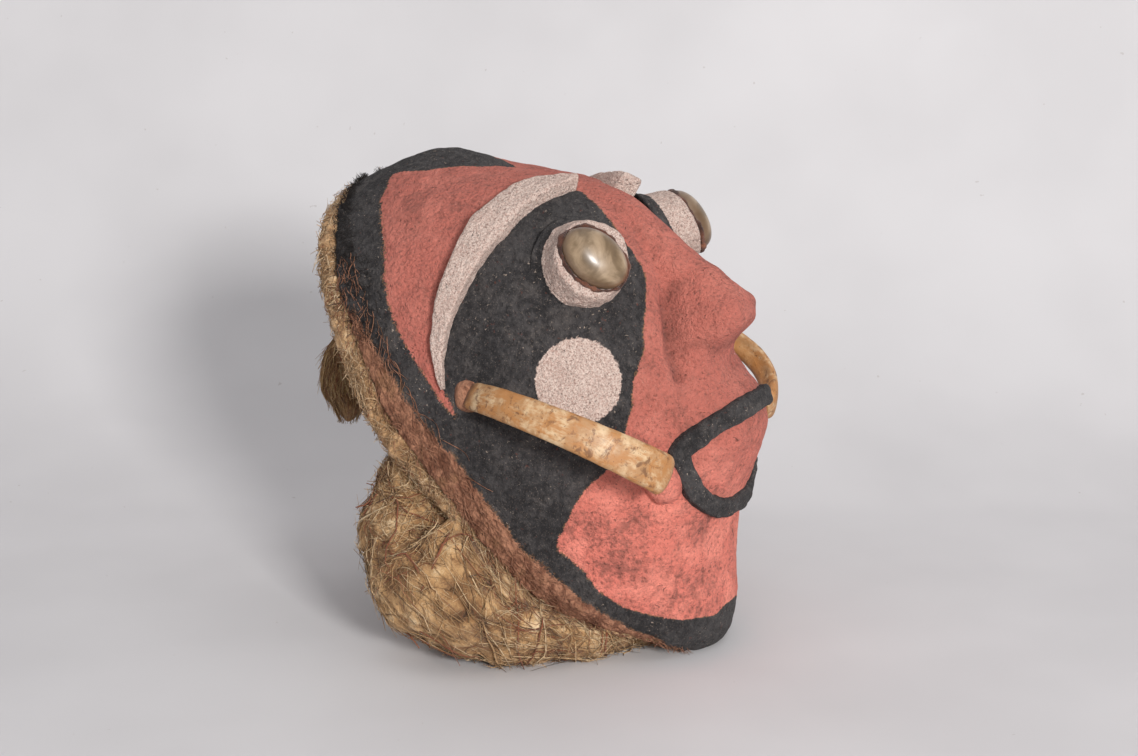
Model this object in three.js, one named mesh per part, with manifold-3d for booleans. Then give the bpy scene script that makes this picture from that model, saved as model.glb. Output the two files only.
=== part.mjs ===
// Ceremonial face mask, modelled as it sits on a table: on its chin and on the fibre roll behind its jaw.
// Millimetres. In the mask's own frame x runs to the mask's left, y to its back and z up along the face.
// The whole mask then leans back by LEAN, and the finished part stands on z = 0 with its front towards -y.
import * as THREE from "three";
import { mergeVertices } from "three/addons/utils/BufferGeometryUtils.js";
import Module from "manifold-3d";

const wasm = await Module();
wasm.setup();

// Driving dimensions
const FACE_HEIGHT = 258; // chin to crown
const FACE_HALF_WIDTH = 80; // half breadth of the outline at mid height
const EGG_TAPER = 0.12; // how much broader the outline is above its middle than below it
const LEAN = 30; // degrees that the mask leans back when it sits
const PASTE_WALL = 6; // modelled paste
const LINING_WALL = 5; // matted fibre inside the paste
const LIP_DEPTH = 11; // fibre that shows behind the paste's edge
const FIT_GAP = 0.3; // clearance between pieces that touch
const REST_CUT = 0.7; // how much of the chin is pressed flat where the mask sits

// Brow crescents, eye stubs and eye shells
const CRESCENT_WIDTH = 15;
const CRESCENT_HEIGHT = 6;
const LEFT_TIP_HEIGHT = 10; // at the crescents' inner ends, which stand up
const RIGHT_TIP_HEIGHT = 7.5;
const LEFT_TIP_DROP = 0.035; // how much lower the left one's inner end lies, as a share of the face's height
const EYE_SWING = 31.4; // degrees round from the midline
const EYE_SHARE = 0.676; // share of the face's height
const EYE_TURN_OUT = 42; // degrees between the stub's axis and straight ahead
const STUB_BASE_RADIUS = 18.5;
const STUB_TOP_RADIUS = 15.8;
const STUB_LENGTH = 14;
const EYE_SHELL_LENGTH = 31;
const EYE_SHELL_BREADTH = 22;
const EYE_SHELL_DOME = 6.5;
const EYE_SHELL_TILT = 64; // degrees that the oval's long axis rises towards the temple

// Mouth: a ring in the shape of a D that lies on its straight side, and the tongue in it
const MOUTH_HALF_WIDTH = 38;
const MOUTH_CORNER = 84; // height of the ring's corners above the chin
const MOUTH_RISE = 6; // from the corners to the straight top
const MOUTH_DROP = 30; // from the corners to the bottom
const LIP_WIDTH = 7;
const LIP_HEIGHT = 4;
const TONGUE_RISE = 4;
const TONGUE_SLOPE = 22; // degrees that the mouth's plane leans, its bottom further back

// Boar tusks, for the one on the mask's left. Each end is seated in the face at a height and a swing round
// from the midline, sunk straight back into it.
const ROOT_SEAT = { height: 79, swing: 36.7, sunk: 0.7 };
const TIP_SEAT = { height: 147, swing: 66.7, sunk: 8.9 };
const TUSK_BOW = [28.5, -27, -6]; // how far its middle stands out from the straight line between its ends
const TUSK_ROOT_WIDTH = 18;
const TUSK_TIP_WIDTH = 11;
const TUSK_THICKNESS = 9;

// The fibre roll, from the chin to its upper end: [across, behind the chin, above the chin, radius]
const ROLL = [
  [0, 16, 21, 9], [29, 25, 30.5, 12.5], [48, 40, 45.5, 19], [61, 58, 71, 32.5], [59, 70, 100, 32.5],
  [62, 63, 121, 19], [68, 54, 136, 9],
];
// The tassel that hangs plumb from the crown's rim: [drop, how far it hangs back, radius], from the top
const TASSEL = [
  [0, 0, 5], [12, 2, 4], [40, 4, 4], [60, 5, 6], [75, 6, 12.5], [87, 7, 13], [97, 7, 8], [105, 8, 3],
];
const TASSEL_BEHIND = 13; // where it is tied on, behind the crown's edge
const TASSEL_BELOW = 7; // and under the crown

const RADIANS = Math.PI / 180;
const SIDES = [["left", 1], ["right", -1]];

// The face's profile on its midline, without nose and mouth: [share of the height, share of it forwards].
const MIDLINE = [
  [1, -0.186], [0.988, -0.062], [0.922, 0.034], [0.864, 0.108], [0.795, 0.192], [0.705, 0.244],
  [0.601, 0.26], [0.484, 0.256], [0.388, 0.237], [0.31, 0.214], [0.24, 0.173], [0.174, 0.131],
  [0.085, 0.082], [0.023, 0.046], [0, 0.004],
];
// How far forwards the paste's back edge lies, in the same shares.
const BACK_EDGE = [
  [1, -0.186], [0.93, -0.194], [0.775, -0.186], [0.62, -0.182], [0.465, -0.159], [0.31, -0.143],
  [0.194, -0.12], [0.116, -0.07], [0.058, -0.027], [0, 0.004],
];
// How far the nose's ridge stands out, half its breadth, and how far the muzzle round the mouth stands out.
const NOSE_RIDGE = [
  [0.84, 0], [0.795, 0.012], [0.705, 0.02], [0.6, 0.05], [0.56, 0.073], [0.5, 0.09], [0.475, 0.086],
  [0.455, 0.06], [0.44, 0.03], [0.41, 0.012], [0.38, 0],
];
const NOSE_BREADTH = [[0.84, 0.035], [0.7, 0.045], [0.6, 0.058], [0.55, 0.07], [0.5, 0.092], [0.46, 0.1]];
const MUZZLE = [
  [0.49, 0], [0.445, 0.016], [0.388, 0.024], [0.31, 0.029], [0.26, 0.018], [0.21, 0.004], [0.175, 0],
];
const MUZZLE_HALF_BREADTH = 0.168;

// A monotone cubic through [at, value] rows.
function smoothThrough(rows) {
  const p = [...rows].sort((a, b) => a[0] - b[0]);
  const slope = p.slice(1).map((q, i) => (q[1] - p[i][1]) / (q[0] - p[i][0]));
  const tangent = p.map((_, i) => {
    if (i === 0) return slope[0];
    if (i === p.length - 1) return slope[i - 1];
    const [a, b] = [slope[i - 1], slope[i]];
    return a * b <= 0 ? 0 : (2 * a * b) / (a + b);
  });
  return (at) => {
    if (at <= p[0][0]) return p[0][1];
    if (at >= p[p.length - 1][0]) return p[p.length - 1][1];
    const i = p.findIndex((q) => q[0] > at) - 1;
    const step = p[i + 1][0] - p[i][0];
    const t = (at - p[i][0]) / step;
    const rise = 3 * t * t - 2 * t * t * t;
    return (
      p[i][1] * (1 - rise) + p[i + 1][1] * rise +
      step * (tangent[i] * (t - 2 * t * t + t * t * t) + tangent[i + 1] * (t * t * t - t * t))
    );
  };
}

// The turn from the crown at a share of the height: profiles are smooth in it, also where the dome turns.
const turnAt = (share) => Math.acos(THREE.MathUtils.clamp(2 * share - 1, -1, 1));
const overTurn = (rows) => smoothThrough(rows.map(([share, value]) => [turnAt(share), value * FACE_HEIGHT]));
const midline = overTurn(MIDLINE);
const backEdge = overTurn(BACK_EDGE);
const noseRidge = smoothThrough(NOSE_RIDGE);
const noseBreadth = smoothThrough(NOSE_BREADTH);
const muzzleRise = smoothThrough(MUZZLE);
const halfWidth = (turn) => FACE_HALF_WIDTH * Math.sin(turn) * (1 + EGG_TAPER * Math.cos(turn));

// A point of the smooth face. turn runs from the crown to the chin, swing from -90 to 90 degrees across:
// each height's section is half an ellipse, and both ends of the swing lie on the paste's back edge.
function facePoint(turn, swing) {
  const forwards = backEdge(turn) + (midline(turn) - backEdge(turn)) * Math.cos(swing);
  return new THREE.Vector3(
    halfWidth(turn) * Math.sin(swing),
    -forwards,
    (FACE_HEIGHT / 2) * (1 + Math.cos(turn)),
  );
}

// The smooth face's outward normal.
function faceNormal(turn, swing) {
  if (turn < 1e-6 || turn > Math.PI - 1e-6) return new THREE.Vector3(0, 0, turn < 1 ? 1 : -1);
  const e = 1e-3;
  const down = facePoint(turn + e, swing).sub(facePoint(turn - e, swing));
  const across = facePoint(turn, swing + e).sub(facePoint(turn, swing - e));
  return down.cross(across).normalize();
}

// A point at a depth under the smooth face, or above it if the depth is negative.
const under = (turn, swing, depth) =>
  facePoint(turn, swing).addScaledVector(faceNormal(turn, swing), -depth);

// How far nose and muzzle lift the face forwards, x off the midline at a share of the height.
function featureRise(x, share) {
  const dome = (halfBreadth) => Math.max(0, 1 - (x / (halfBreadth * FACE_HEIGHT)) ** 2);
  const nose = noseRidge(share) * dome(noseBreadth(share)) ** 0.8;
  const muzzle = muzzleRise(share) * Math.sqrt(dome(MUZZLE_HALF_BREADTH));
  return FACE_HEIGHT * Math.max(nose, muzzle);
}

function carvedPoint(turn, swing) {
  const p = facePoint(turn, swing);
  p.y -= featureRise(p.x, p.z / FACE_HEIGHT);
  return p;
}

// The turn and swing of the face's point at (x, z).
function turnAndSwing(x, z) {
  const turn = turnAt(z / FACE_HEIGHT);
  return [turn, Math.asin(THREE.MathUtils.clamp(x / halfWidth(turn), -1, 1))];
}

// Triangles gathered as points; a closed set of them makes a solid.
class Faces {
  constructor() {
    this.points = [];
  }

  quad(a, b, c, d) {
    this.points.push(a, b, c, a, c, d);
  }

  fan(centre, ring) {
    ring.forEach((p, i) => this.points.push(centre, p, ring[(i + 1) % ring.length]));
  }

  solid() {
    const soup = new THREE.BufferGeometry().setFromPoints(this.points);
    return toSolid(soup);
  }
}

function toSolid(geometry) {
  const bare = geometry.clone();
  bare.deleteAttribute("normal");
  bare.deleteAttribute("uv");
  const merged = mergeVertices(bare, 1e-4);
  const corners = merged.index.array;
  const kept = [];
  for (let i = 0; i < corners.length; i += 3) {
    const [a, b, c] = [corners[i], corners[i + 1], corners[i + 2]];
    if (a !== b && b !== c && c !== a) kept.push(a, b, c);
  }
  return new wasm.Manifold(
    new wasm.Mesh({
      numProp: 3,
      vertProperties: new Float32Array(merged.attributes.position.array),
      triVerts: new Uint32Array(kept),
    }),
  );
}

function toGeometry(solid) {
  const mesh = solid.getMesh();
  const position = new Float32Array(mesh.numVert * 3);
  for (let v = 0; v < mesh.numVert; v += 1) {
    for (let k = 0; k < 3; k += 1) position[v * 3 + k] = mesh.vertProperties[v * mesh.numProp + k];
  }
  const geometry = new THREE.BufferGeometry();
  geometry.setAttribute("position", new THREE.BufferAttribute(position, 3));
  geometry.setIndex(new THREE.BufferAttribute(new Uint32Array(mesh.triVerts), 1));
  return geometry;
}

// A wall between two sheets over (turn, swing): the outer and the inner one share their turns, and between
// their edges runs the rim, a chain of points for each turn and side.
function walled(turns, outerSwings, outerAt, innerSwings, innerAt, rimAt = () => []) {
  const faces = new Faces();
  const outer = turns.map((t) => outerSwings.map((s) => outerAt(t, s)));
  const inner = turns.map((t) => innerSwings.map((s) => innerAt(t, s)));
  for (let i = 0; i + 1 < turns.length; i += 1) {
    for (let j = 0; j + 1 < outerSwings.length; j += 1) {
      faces.quad(outer[i][j], outer[i + 1][j], outer[i + 1][j + 1], outer[i][j + 1]);
    }
    for (let j = 0; j + 1 < innerSwings.length; j += 1) {
      faces.quad(inner[i][j], inner[i][j + 1], inner[i + 1][j + 1], inner[i + 1][j]);
    }
  }
  for (const side of [1, -1]) {
    const end = (row) => (side > 0 ? row[row.length - 1] : row[0]);
    const chains = turns.map((t, i) => [end(outer[i]), ...rimAt(t, side), end(inner[i])]);
    for (let i = 0; i + 1 < turns.length; i += 1) {
      const [from, to] = side > 0 ? [chains[i], chains[i + 1]] : [chains[i + 1], chains[i]];
      for (let k = 0; k + 1 < from.length; k += 1) faces.quad(from[k], to[k], to[k + 1], from[k + 1]);
    }
  }
  return faces.solid();
}

// A bar through stations {at, across, out, width, height}: its section's points lie in the plane of the two
// directions. A closed one runs back into its first station.
function bar(stations, section, closed = false) {
  const faces = new Faces();
  const rings = stations.map(({ at, across, out, width, height }) =>
    section.map(([a, o]) => at.clone().addScaledVector(across, a * width).addScaledVector(out, o * height)),
  );
  const last = closed ? rings.length : rings.length - 1;
  for (let r = 0; r < last; r += 1) {
    const [here, next] = [rings[r], rings[(r + 1) % rings.length]];
    here.forEach((p, i) => {
      const j = (i + 1) % here.length;
      faces.quad(p, here[j], next[j], next[i]);
    });
  }
  if (!closed) {
    const middle = (ring) =>
      ring.reduce((sum, p) => sum.add(p), new THREE.Vector3()).divideScalar(ring.length);
    faces.fan(middle(rings[0]), [...rings[0]].reverse());
    faces.fan(middle(rings[rings.length - 1]), rings[rings.length - 1]);
  }
  const made = faces.solid();
  if (made.volume() > 0) return made;
  const turned = new Faces();
  for (let i = 0; i < faces.points.length; i += 3) {
    turned.points.push(faces.points[i], faces.points[i + 2], faces.points[i + 1]);
  }
  return turned.solid();
}

// A bundle of fibre: the hulls of each two neighbouring balls, joined. Stations are {at, radius}.
function bundle(stations, segments = 14) {
  const balls = stations.map(({ at, radius }) =>
    wasm.Manifold.sphere(radius, segments).translate([at.x, at.y, at.z]),
  );
  const spans = balls.slice(1).map((ball, i) => wasm.Manifold.hull([balls[i], ball]));
  return wasm.Manifold.union(spans);
}

// The largest of the bodies that a cut leaves.
const largest = (solid) => solid.decompose().sort((a, b) => b.volume() - a.volume())[0];
const mirrored = (solid) => solid.mirror([1, 0, 0]);
const onSide = (solid, way) => (way > 0 ? solid : mirrored(solid));
const vector = (values) => new THREE.Vector3(...values);

// Rows of the face's sheets: even turns, and closer ones from the nose to the chin side of the mouth.
const EVEN_TURNS = 24;
const turns = [
  ...Array.from({ length: EVEN_TURNS + 1 }, (_, i) => (Math.PI * i) / EVEN_TURNS),
  ...Array.from({ length: 17 }, (_, i) => turnAt(0.6 - (0.4 * i) / 16)),
]
  .sort((a, b) => a - b)
  .filter((t, i, all) => i === 0 || t - all[i - 1] > 0.02);
const bothWays = (degrees) => [...degrees.map((d) => -d).reverse(), 0, ...degrees].map((d) => d * RADIANS);
const fineSwings = bothWays([3.5, 7, 10.5, 14, 18, 22, 28, 35, 43, 51, 59, 67, 75, 83, 90]);
const coarseSwings = bothWays([14, 28, 43, 59, 75, 90]);

// A chain around the fibre lip behind the paste's edge: [outwards, backwards] from the edge's outer corner.
const LIP_SECTION = [
  [-PASTE_WALL - 0.5, 0.1], [-2.5, 0.1], [-0.5, 0.3], [-0.5, 0.65], [-3, 0.95], [-6.5, 1], [-10, 0.8],
  [-12, 0.4],
];
// The lip is fullest from the crown to the cheeks and thins out behind the jaw, where the roll lies.
const lipFullness = smoothThrough([[0, 0.25], [0.15, 0.3], [0.4, 0.6], [0.55, 1], [1, 1]]);

function lipChain(turn, side, grow) {
  const swing = (side * Math.PI) / 2;
  const full = lipFullness((1 + Math.cos(turn)) / 2);
  const edge = facePoint(turn, swing);
  const out = faceNormal(turn, swing);
  const middle = -PASTE_WALL;
  return LIP_SECTION.map(([n, b]) => {
    const outwards = middle + (n - middle) * (0.55 + 0.45 * full) + Math.sign(n - middle) * grow;
    const backwards = FIT_GAP + b * LIP_DEPTH * full + (b > 0.3 ? grow : -grow);
    const p = edge.clone().addScaledVector(out, outwards);
    p.y += backwards;
    return p;
  });
}

function lining(grow = 0) {
  const top = PASTE_WALL + FIT_GAP;
  return walled(
    turns,
    coarseSwings,
    (t, s) => under(t, s, top - grow),
    coarseSwings,
    (t, s) => under(t, s, top + LINING_WALL + grow),
    (t, side) => lipChain(t, side, grow),
  );
}

// Everything in front of the paste's back edge, and a margin around the face.
function beforeEdge(margin) {
  const flat = (t, s) => {
    const p = facePoint(t, s);
    p.y = -backEdge(t) + FIT_GAP;
    return p;
  };
  return walled(turns, coarseSwings, (t, s) => under(t, s, -margin), coarseSwings, flat, (t, side) => {
    const p = under(t, (side * Math.PI) / 2, -margin);
    p.y = -backEdge(t) + FIT_GAP;
    return [p];
  });
}

// A raised crescent that runs from beside the nose's root over the eye and down the temple.
const CRESCENT_PATH = smoothThrough([[0, 7.5], [0.3, 30], [0.55, 52], [0.75, 67.5], [0.9, 74], [1, 76]]);
const CRESCENT_SHARE = smoothThrough([
  [0, 0.8], [0.25, 0.819], [0.5, 0.796], [0.7, 0.728], [0.88, 0.649], [1, 0.585],
]);
const CRESCENT_SECTION = [[-0.5, -0.45], [-0.5, 0.6], [-0.3, 1], [0.3, 1], [0.5, 0.6], [0.5, -0.45]];
function crescent(tipHeight, tipDrop) {
  const steps = 18;
  const at = (t) => [
    turnAt(CRESCENT_SHARE(t) - tipDrop * Math.max(0, 1 - t / 0.2) ** 2),
    CRESCENT_PATH(t) * RADIANS,
  ];
  const stations = Array.from({ length: steps + 1 }, (_, i) => {
    const t = i / steps;
    const [turn, swing] = at(t);
    const ahead = facePoint(...at(Math.min(1, t + 0.02))).sub(facePoint(...at(Math.max(0, t - 0.02))));
    const out = faceNormal(turn, swing);
    const fullness = Math.min(1, 0.66 + 0.6 * t) * Math.min(1, 0.12 + 2 * (1 - t));
    return {
      at: facePoint(turn, swing),
      across: ahead.normalize().cross(out),
      out,
      width: CRESCENT_WIDTH * fullness,
      height: Math.min(Math.max(tipHeight - 20 * t, CRESCENT_HEIGHT * (1.1 - 0.2 * t)), 2 + 13 * (1 - t)),
    };
  });
  return bar(stations, CRESCENT_SECTION);
}

// An eye's axis: where its stub leaves the face, the way it points, and the way its oval shell lies.
function eyeAxis() {
  const [turn, swing] = [turnAt(EYE_SHARE), EYE_SWING * RADIANS];
  const out = new THREE.Vector3(Math.sin(EYE_TURN_OUT * RADIANS), -Math.cos(EYE_TURN_OUT * RADIANS), 0);
  const up = new THREE.Vector3(0, 0, 1);
  const side = new THREE.Vector3().crossVectors(up, out);
  const tilt = EYE_SHELL_TILT * RADIANS;
  const long = side.clone().multiplyScalar(Math.cos(tilt)).addScaledVector(up, Math.sin(tilt));
  return { foot: facePoint(turn, swing), out, long, short: new THREE.Vector3().crossVectors(out, long) };
}

function turned(profile, steps, { foot, out, long, short }, along) {
  const geometry = new THREE.LatheGeometry(profile.map(([r, y]) => new THREE.Vector2(r, y)), steps);
  const start = foot.clone().addScaledVector(out, along);
  geometry.applyMatrix4(new THREE.Matrix4().makeBasis(long, out, short.clone().negate()).setPosition(start));
  const solid = toSolid(geometry);
  return solid;
}

function eyeStub() {
  const sunk = 4.5;
  const profile = [[0, -sunk], [STUB_BASE_RADIUS + 1, -sunk], [STUB_BASE_RADIUS, 0]];
  profile.push([STUB_TOP_RADIUS + 0.6, STUB_LENGTH - 1.5], [STUB_TOP_RADIUS - 0.6, STUB_LENGTH]);
  profile.push([0, STUB_LENGTH]);
  return turned(profile, 28, eyeAxis(), 0);
}

function eyeShell() {
  const radius = EYE_SHELL_LENGTH / 2;
  const steps = 7;
  const dome = Array.from({ length: steps + 1 }, (_, i) => {
    const turn = (Math.PI / 2) * (i / steps);
    return [radius * Math.cos(turn), 1.2 + (EYE_SHELL_DOME - 1.2) * Math.sin(turn)];
  });
  dome[steps][0] = 0;
  const axis = eyeAxis();
  axis.short = axis.short.clone().multiplyScalar(EYE_SHELL_BREADTH / EYE_SHELL_LENGTH);
  return turned([[0, 0], [radius - 0.8, 0], ...dome], 24, axis, STUB_LENGTH + FIT_GAP);
}

// The lips: a D-shaped ring on the muzzle.
function mouthRing() {
  const steps = 36;
  const at = (i) => {
    const angle = (2 * Math.PI * i) / steps;
    const [c, s] = [Math.cos(angle), Math.sin(angle)];
    const flat = s > 0 ? 0.55 : 1;
    const x = MOUTH_HALF_WIDTH * Math.sign(c) * Math.abs(c) ** (s > 0 ? 0.7 : 0.9);
    const z = MOUTH_CORNER + (s > 0 ? MOUTH_RISE * s ** flat : MOUTH_DROP * s);
    return carvedPoint(...turnAndSwing(x, z));
  };
  const stations = Array.from({ length: steps }, (_, i) => {
    const p = at(i);
    const out = faceNormal(...turnAndSwing(p.x, p.z));
    const ahead = at(i + 0.5).sub(at(i - 0.5)).normalize();
    out.addScaledVector(ahead, -out.dot(ahead)).normalize();
    return { at: p, across: ahead.cross(out), out, width: LIP_WIDTH, height: LIP_HEIGHT };
  });
  const section = [[-0.5, -0.9], [-0.5, 0.35], [-0.25, 0.9], [0.25, 0.9], [0.5, 0.35], [0.5, -0.9]];
  return bar(stations, section, true);
}

function tongue() {
  const z = MOUTH_CORNER + (MOUTH_RISE - MOUTH_DROP) / 2;
  const p = carvedPoint(...turnAndSwing(0, z));
  const ball = new THREE.SphereGeometry(1, 24, 14);
  ball.scale(MOUTH_HALF_WIDTH - LIP_WIDTH / 2, TONGUE_RISE, (MOUTH_RISE + MOUTH_DROP) / 2 - LIP_WIDTH / 2);
  ball.rotateX(TONGUE_SLOPE * RADIANS);
  ball.translate(p.x, p.y + TONGUE_RISE / 3, p.z);
  return toSolid(ball);
}

// Where a tusk's end is seated.
function tuskEnd({ height, swing, sunk }) {
  const p = facePoint(turnAt(height / FACE_HEIGHT), swing * RADIANS);
  p.y += sunk;
  return p;
}

// A tusk, or the space it needs if it is grown.
function tusk(grow = 0) {
  const [root, tip, bow] = [tuskEnd(ROOT_SEAT), tuskEnd(TIP_SEAT), vector(TUSK_BOW)];
  const at = (t) =>
    root.clone().lerp(tip, (1 - Math.cos(Math.PI * t)) / 2).addScaledVector(bow, Math.sin(Math.PI * t));
  const steps = 18;
  const stations = Array.from({ length: steps + 1 }, (_, i) => {
    const t = i / steps;
    const ahead = at(Math.min(1, t + 0.02)).sub(at(Math.max(0, t - 0.02))).normalize();
    const out = bow.clone().addScaledVector(ahead, -bow.dot(ahead)).normalize();
    return {
      at: at(t).addScaledVector(ahead, i === 0 ? -grow : i === steps ? grow : 0),
      across: new THREE.Vector3().crossVectors(ahead, out),
      out,
      width: THREE.MathUtils.lerp(TUSK_ROOT_WIDTH, TUSK_TIP_WIDTH, t) + 2 * grow,
      height: TUSK_THICKNESS * (1 - 0.25 * t) + 2 * grow,
    };
  });
  const section = [
    [-0.5, 0.1], [-0.42, 0.4], [-0.15, 0.5], [0.15, 0.5], [0.42, 0.4], [0.5, 0.1], [0.25, -0.32], [0, -0.5],
    [-0.25, -0.32],
  ];
  return bar(stations, section);
}

// Paste that holds a tusk's end.
function socket(at, radii) {
  return wasm.Manifold.sphere(1, 20).scale(radii).translate([at.x, at.y, at.z]);
}

function pasteFace() {
  const wall = walled(turns, fineSwings, carvedPoint, coarseSwings, (t, s) => under(t, s, PASTE_WALL));
  const [root, tip] = [tuskEnd(ROOT_SEAT), tuskEnd(TIP_SEAT)];
  const halves = [eyeStub(), socket(root, [11, 9, 12]), socket(tip, [6, 8, 8])];
  const crescents = [crescent(LEFT_TIP_HEIGHT, LEFT_TIP_DROP), mirrored(crescent(RIGHT_TIP_HEIGHT, 0))];
  const core = walled(turns, coarseSwings, (t, s) => under(t, s, PASTE_WALL), coarseSwings, (t, s) => {
    const p = facePoint(t, s);
    p.y = -backEdge(t) + FACE_HALF_WIDTH;
    return p;
  });
  const space = tusk(FIT_GAP);
  return wasm.Manifold.union([wall, mouthRing(), tongue(), ...crescents, ...halves, ...halves.map(mirrored)])
    .subtract(core)
    .subtract(space)
    .subtract(mirrored(space));
}

// The fibre roll: balls along a smooth line through ROLL and its mirror image.
function fibreRoll() {
  const rows = [...ROLL.slice(1).reverse().map(([x, y, z, r]) => [-x, y, z, r]), ...ROLL];
  const knots = rows.map(([x, y, z]) => new THREE.Vector3(x, y, z));
  const line = new THREE.CatmullRomCurve3(knots, false, "centripetal");
  const radius = smoothThrough(rows.map((row, i) => [i / (rows.length - 1), row[3]]));
  const steps = 2 * (rows.length - 1);
  const stations = Array.from({ length: steps + 1 }, (_, i) => ({
    at: line.getPoint(i / steps),
    radius: radius(i / steps),
  }));
  const reach = Math.max(...ROLL.map((row) => row[3])) + LIP_DEPTH;
  return largest(bundle(stations, 16).subtract(beforeEdge(reach)).subtract(lining(2 * FIT_GAP)));
}

// The tassel: balls down a plumb line, so in the mask's own frame it leans by LEAN.
function fibreTassel() {
  const top = new THREE.Vector3(0, TASSEL_BEHIND - backEdge(0), FACE_HEIGHT - TASSEL_BELOW);
  const plumb = new THREE.Vector3(0, Math.sin(LEAN * RADIANS), -Math.cos(LEAN * RADIANS));
  const back = new THREE.Vector3(0, Math.cos(LEAN * RADIANS), Math.sin(LEAN * RADIANS));
  const stations = TASSEL.map(([drop, away, radius]) => ({
    at: top.clone().addScaledVector(plumb, drop).addScaledVector(back, away),
    radius,
  }));
  return largest(bundle(stations, 14).subtract(lining(2 * FIT_GAP)));
}

const PIECES = [
  ["face_shell", pasteFace(), "#8f4a45", 0.9],
  ["fibre_lining", lining(), "#8d7350", 0.95],
  ["fibre_roll", fibreRoll(), "#86704c", 0.95],
  ["fibre_tassel", fibreTassel(), "#8a6f48", 0.95],
  ...SIDES.map(([side, way]) => [`tusk_${side}`, onSide(tusk(), way), "#cdb183", 0.4]),
  ...SIDES.map(([side, way]) => [`eye_shell_${side}`, onSide(eyeShell(), way), "#8e7c56", 0.2]),
];

// Lean every piece back, press the lowest points flat, and stand the mask on z = 0 in the middle of its box.
const leaned = PIECES.map(([name, solid, colour, roughness]) => [
  name, solid.rotate([-LEAN, 0, 0]), colour, roughness,
]);
const lowest = leaned[0][1].boundingBox().min[2] + REST_CUT; // the chin's; the roll is pressed down to it
const rested = leaned.map(([name, solid, ...look]) => [
  name, solid.trimByPlane([0, 0, 1], lowest).simplify(0.06), ...look,
]);
const boxes = rested.map(([, solid]) => solid.boundingBox());
const middleOf = (k) =>
  (Math.min(...boxes.map((b) => b.min[k])) + Math.max(...boxes.map((b) => b.max[k]))) / 2;

const mask = new THREE.Group();
mask.name = "ceremonial_mask";
mask.userData.chin = [-middleOf(0), -middleOf(1), -lowest]; // where the mask's own frame has its origin
for (const [name, solid, colour, roughness] of rested) {
  const placed = solid.translate([-middleOf(0), -middleOf(1), -lowest]);
  const mesh = new THREE.Mesh(
    toGeometry(placed),
    new THREE.MeshStandardMaterial({ color: colour, roughness, metalness: 0 }),
  );
  mesh.name = name;
  mask.add(mesh);
}

export default mask;
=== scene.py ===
"""The finished look of a ceremonial face mask of painted fibre paste.

The mask leans back on its chin and on the fibre roll behind its jaw. Shapes are worked out in the
mask's own frame, in millimetres: x to the mask's left, y to its back, z up along the face, with the
origin at the chin. They are then leaned back and moved into the row frame, in metres.
"""

import logging
import math
from dataclasses import dataclass, field
from enum import Enum
from typing import Callable

import bmesh
import bpy
import numpy as np
from mathutils import Matrix, Vector


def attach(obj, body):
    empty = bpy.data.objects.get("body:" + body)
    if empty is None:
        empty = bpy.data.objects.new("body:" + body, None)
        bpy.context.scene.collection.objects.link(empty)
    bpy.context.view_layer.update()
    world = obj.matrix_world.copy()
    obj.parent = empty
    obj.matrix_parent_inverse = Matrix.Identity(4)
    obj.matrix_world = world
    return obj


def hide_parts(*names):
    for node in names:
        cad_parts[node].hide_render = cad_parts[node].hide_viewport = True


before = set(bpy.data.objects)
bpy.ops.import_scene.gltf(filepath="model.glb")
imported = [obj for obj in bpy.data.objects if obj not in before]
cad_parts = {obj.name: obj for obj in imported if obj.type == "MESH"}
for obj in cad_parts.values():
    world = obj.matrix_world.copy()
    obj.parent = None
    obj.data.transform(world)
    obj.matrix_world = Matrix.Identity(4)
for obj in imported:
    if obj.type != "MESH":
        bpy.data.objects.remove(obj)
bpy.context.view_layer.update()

log = logging.getLogger("mask")
Array = np.ndarray
Rows = tuple[tuple[float, ...], ...]
Span = tuple[float, float]
Triple = tuple[float, float, float]

LEAN = math.radians(30)
CHIN = np.array([0.0, -90.735, -1.207])  # the mask frame's origin in the row frame, mm
ROOT = "root"
OUTSIDE, INSIDE = -9.0, 9.0  # distances in mm that are well outside or inside a paint's border
CAP_ROWS = 4  # rows that close an end of a swept tube


class Side(Enum):
    """The mask's own left and right, by the sign of x."""

    LEFT = 1
    RIGHT = -1


class Slot(Enum):
    """The material slots of the row."""

    PASTE = "painted_paste"
    LINING = "matted_fibre"
    LOOSE = "loose_fibre"
    TASSEL = "tassel_fibre"
    TUSK = "tusk"
    SHELL = "eye_shell"


class Seed(Enum):
    """Where each piece's random draws start."""

    PASTE = 5
    ROLL = 11
    ROLL_STRANDS = 21
    MORE_ROLL_STRANDS = 22
    ROLL_STICKS = 23
    LINING = 31
    LEFT_RIM = 41
    RIGHT_RIM = 42
    INSIDE = 43
    TASSEL = 51
    TASSEL_STRANDS = 52
    EDGE_HAIRS = 61


def to_row(points: Array) -> Array:
    """Leans points of the mask's frame back and moves them to the row frame.

    Args:
        points: any array of points, in mm.
    Returns:
        The points in metres: y cos + z sin and z cos - y sin of the lean, plus the chin's place.
    """
    c, s = math.cos(LEAN), math.sin(LEAN)
    x, y, z = np.moveaxis(points, -1, 0)
    return (np.stack([x, y * c + z * s, z * c - y * s], -1) + CHIN) * 0.001


def placed(name: str, data: bpy.types.ID) -> bpy.types.Object:
    """A new object in the scene."""
    made = bpy.data.objects.new(name, data)
    bpy.context.scene.collection.objects.link(made)
    return made


def unit(v: Array) -> Array:
    """The vectors scaled to length 1."""
    return v / np.maximum(np.linalg.norm(v, axis=-1, keepdims=True), 1e-12)


def smoothstep(x: Array, low: float, high: float) -> Array:
    """3t^2 - 2t^3 of t, which runs from 0 at low to 1 at high."""
    t = np.clip((x - low) / (high - low), 0, 1)
    return t * t * (3 - 2 * t)


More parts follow.
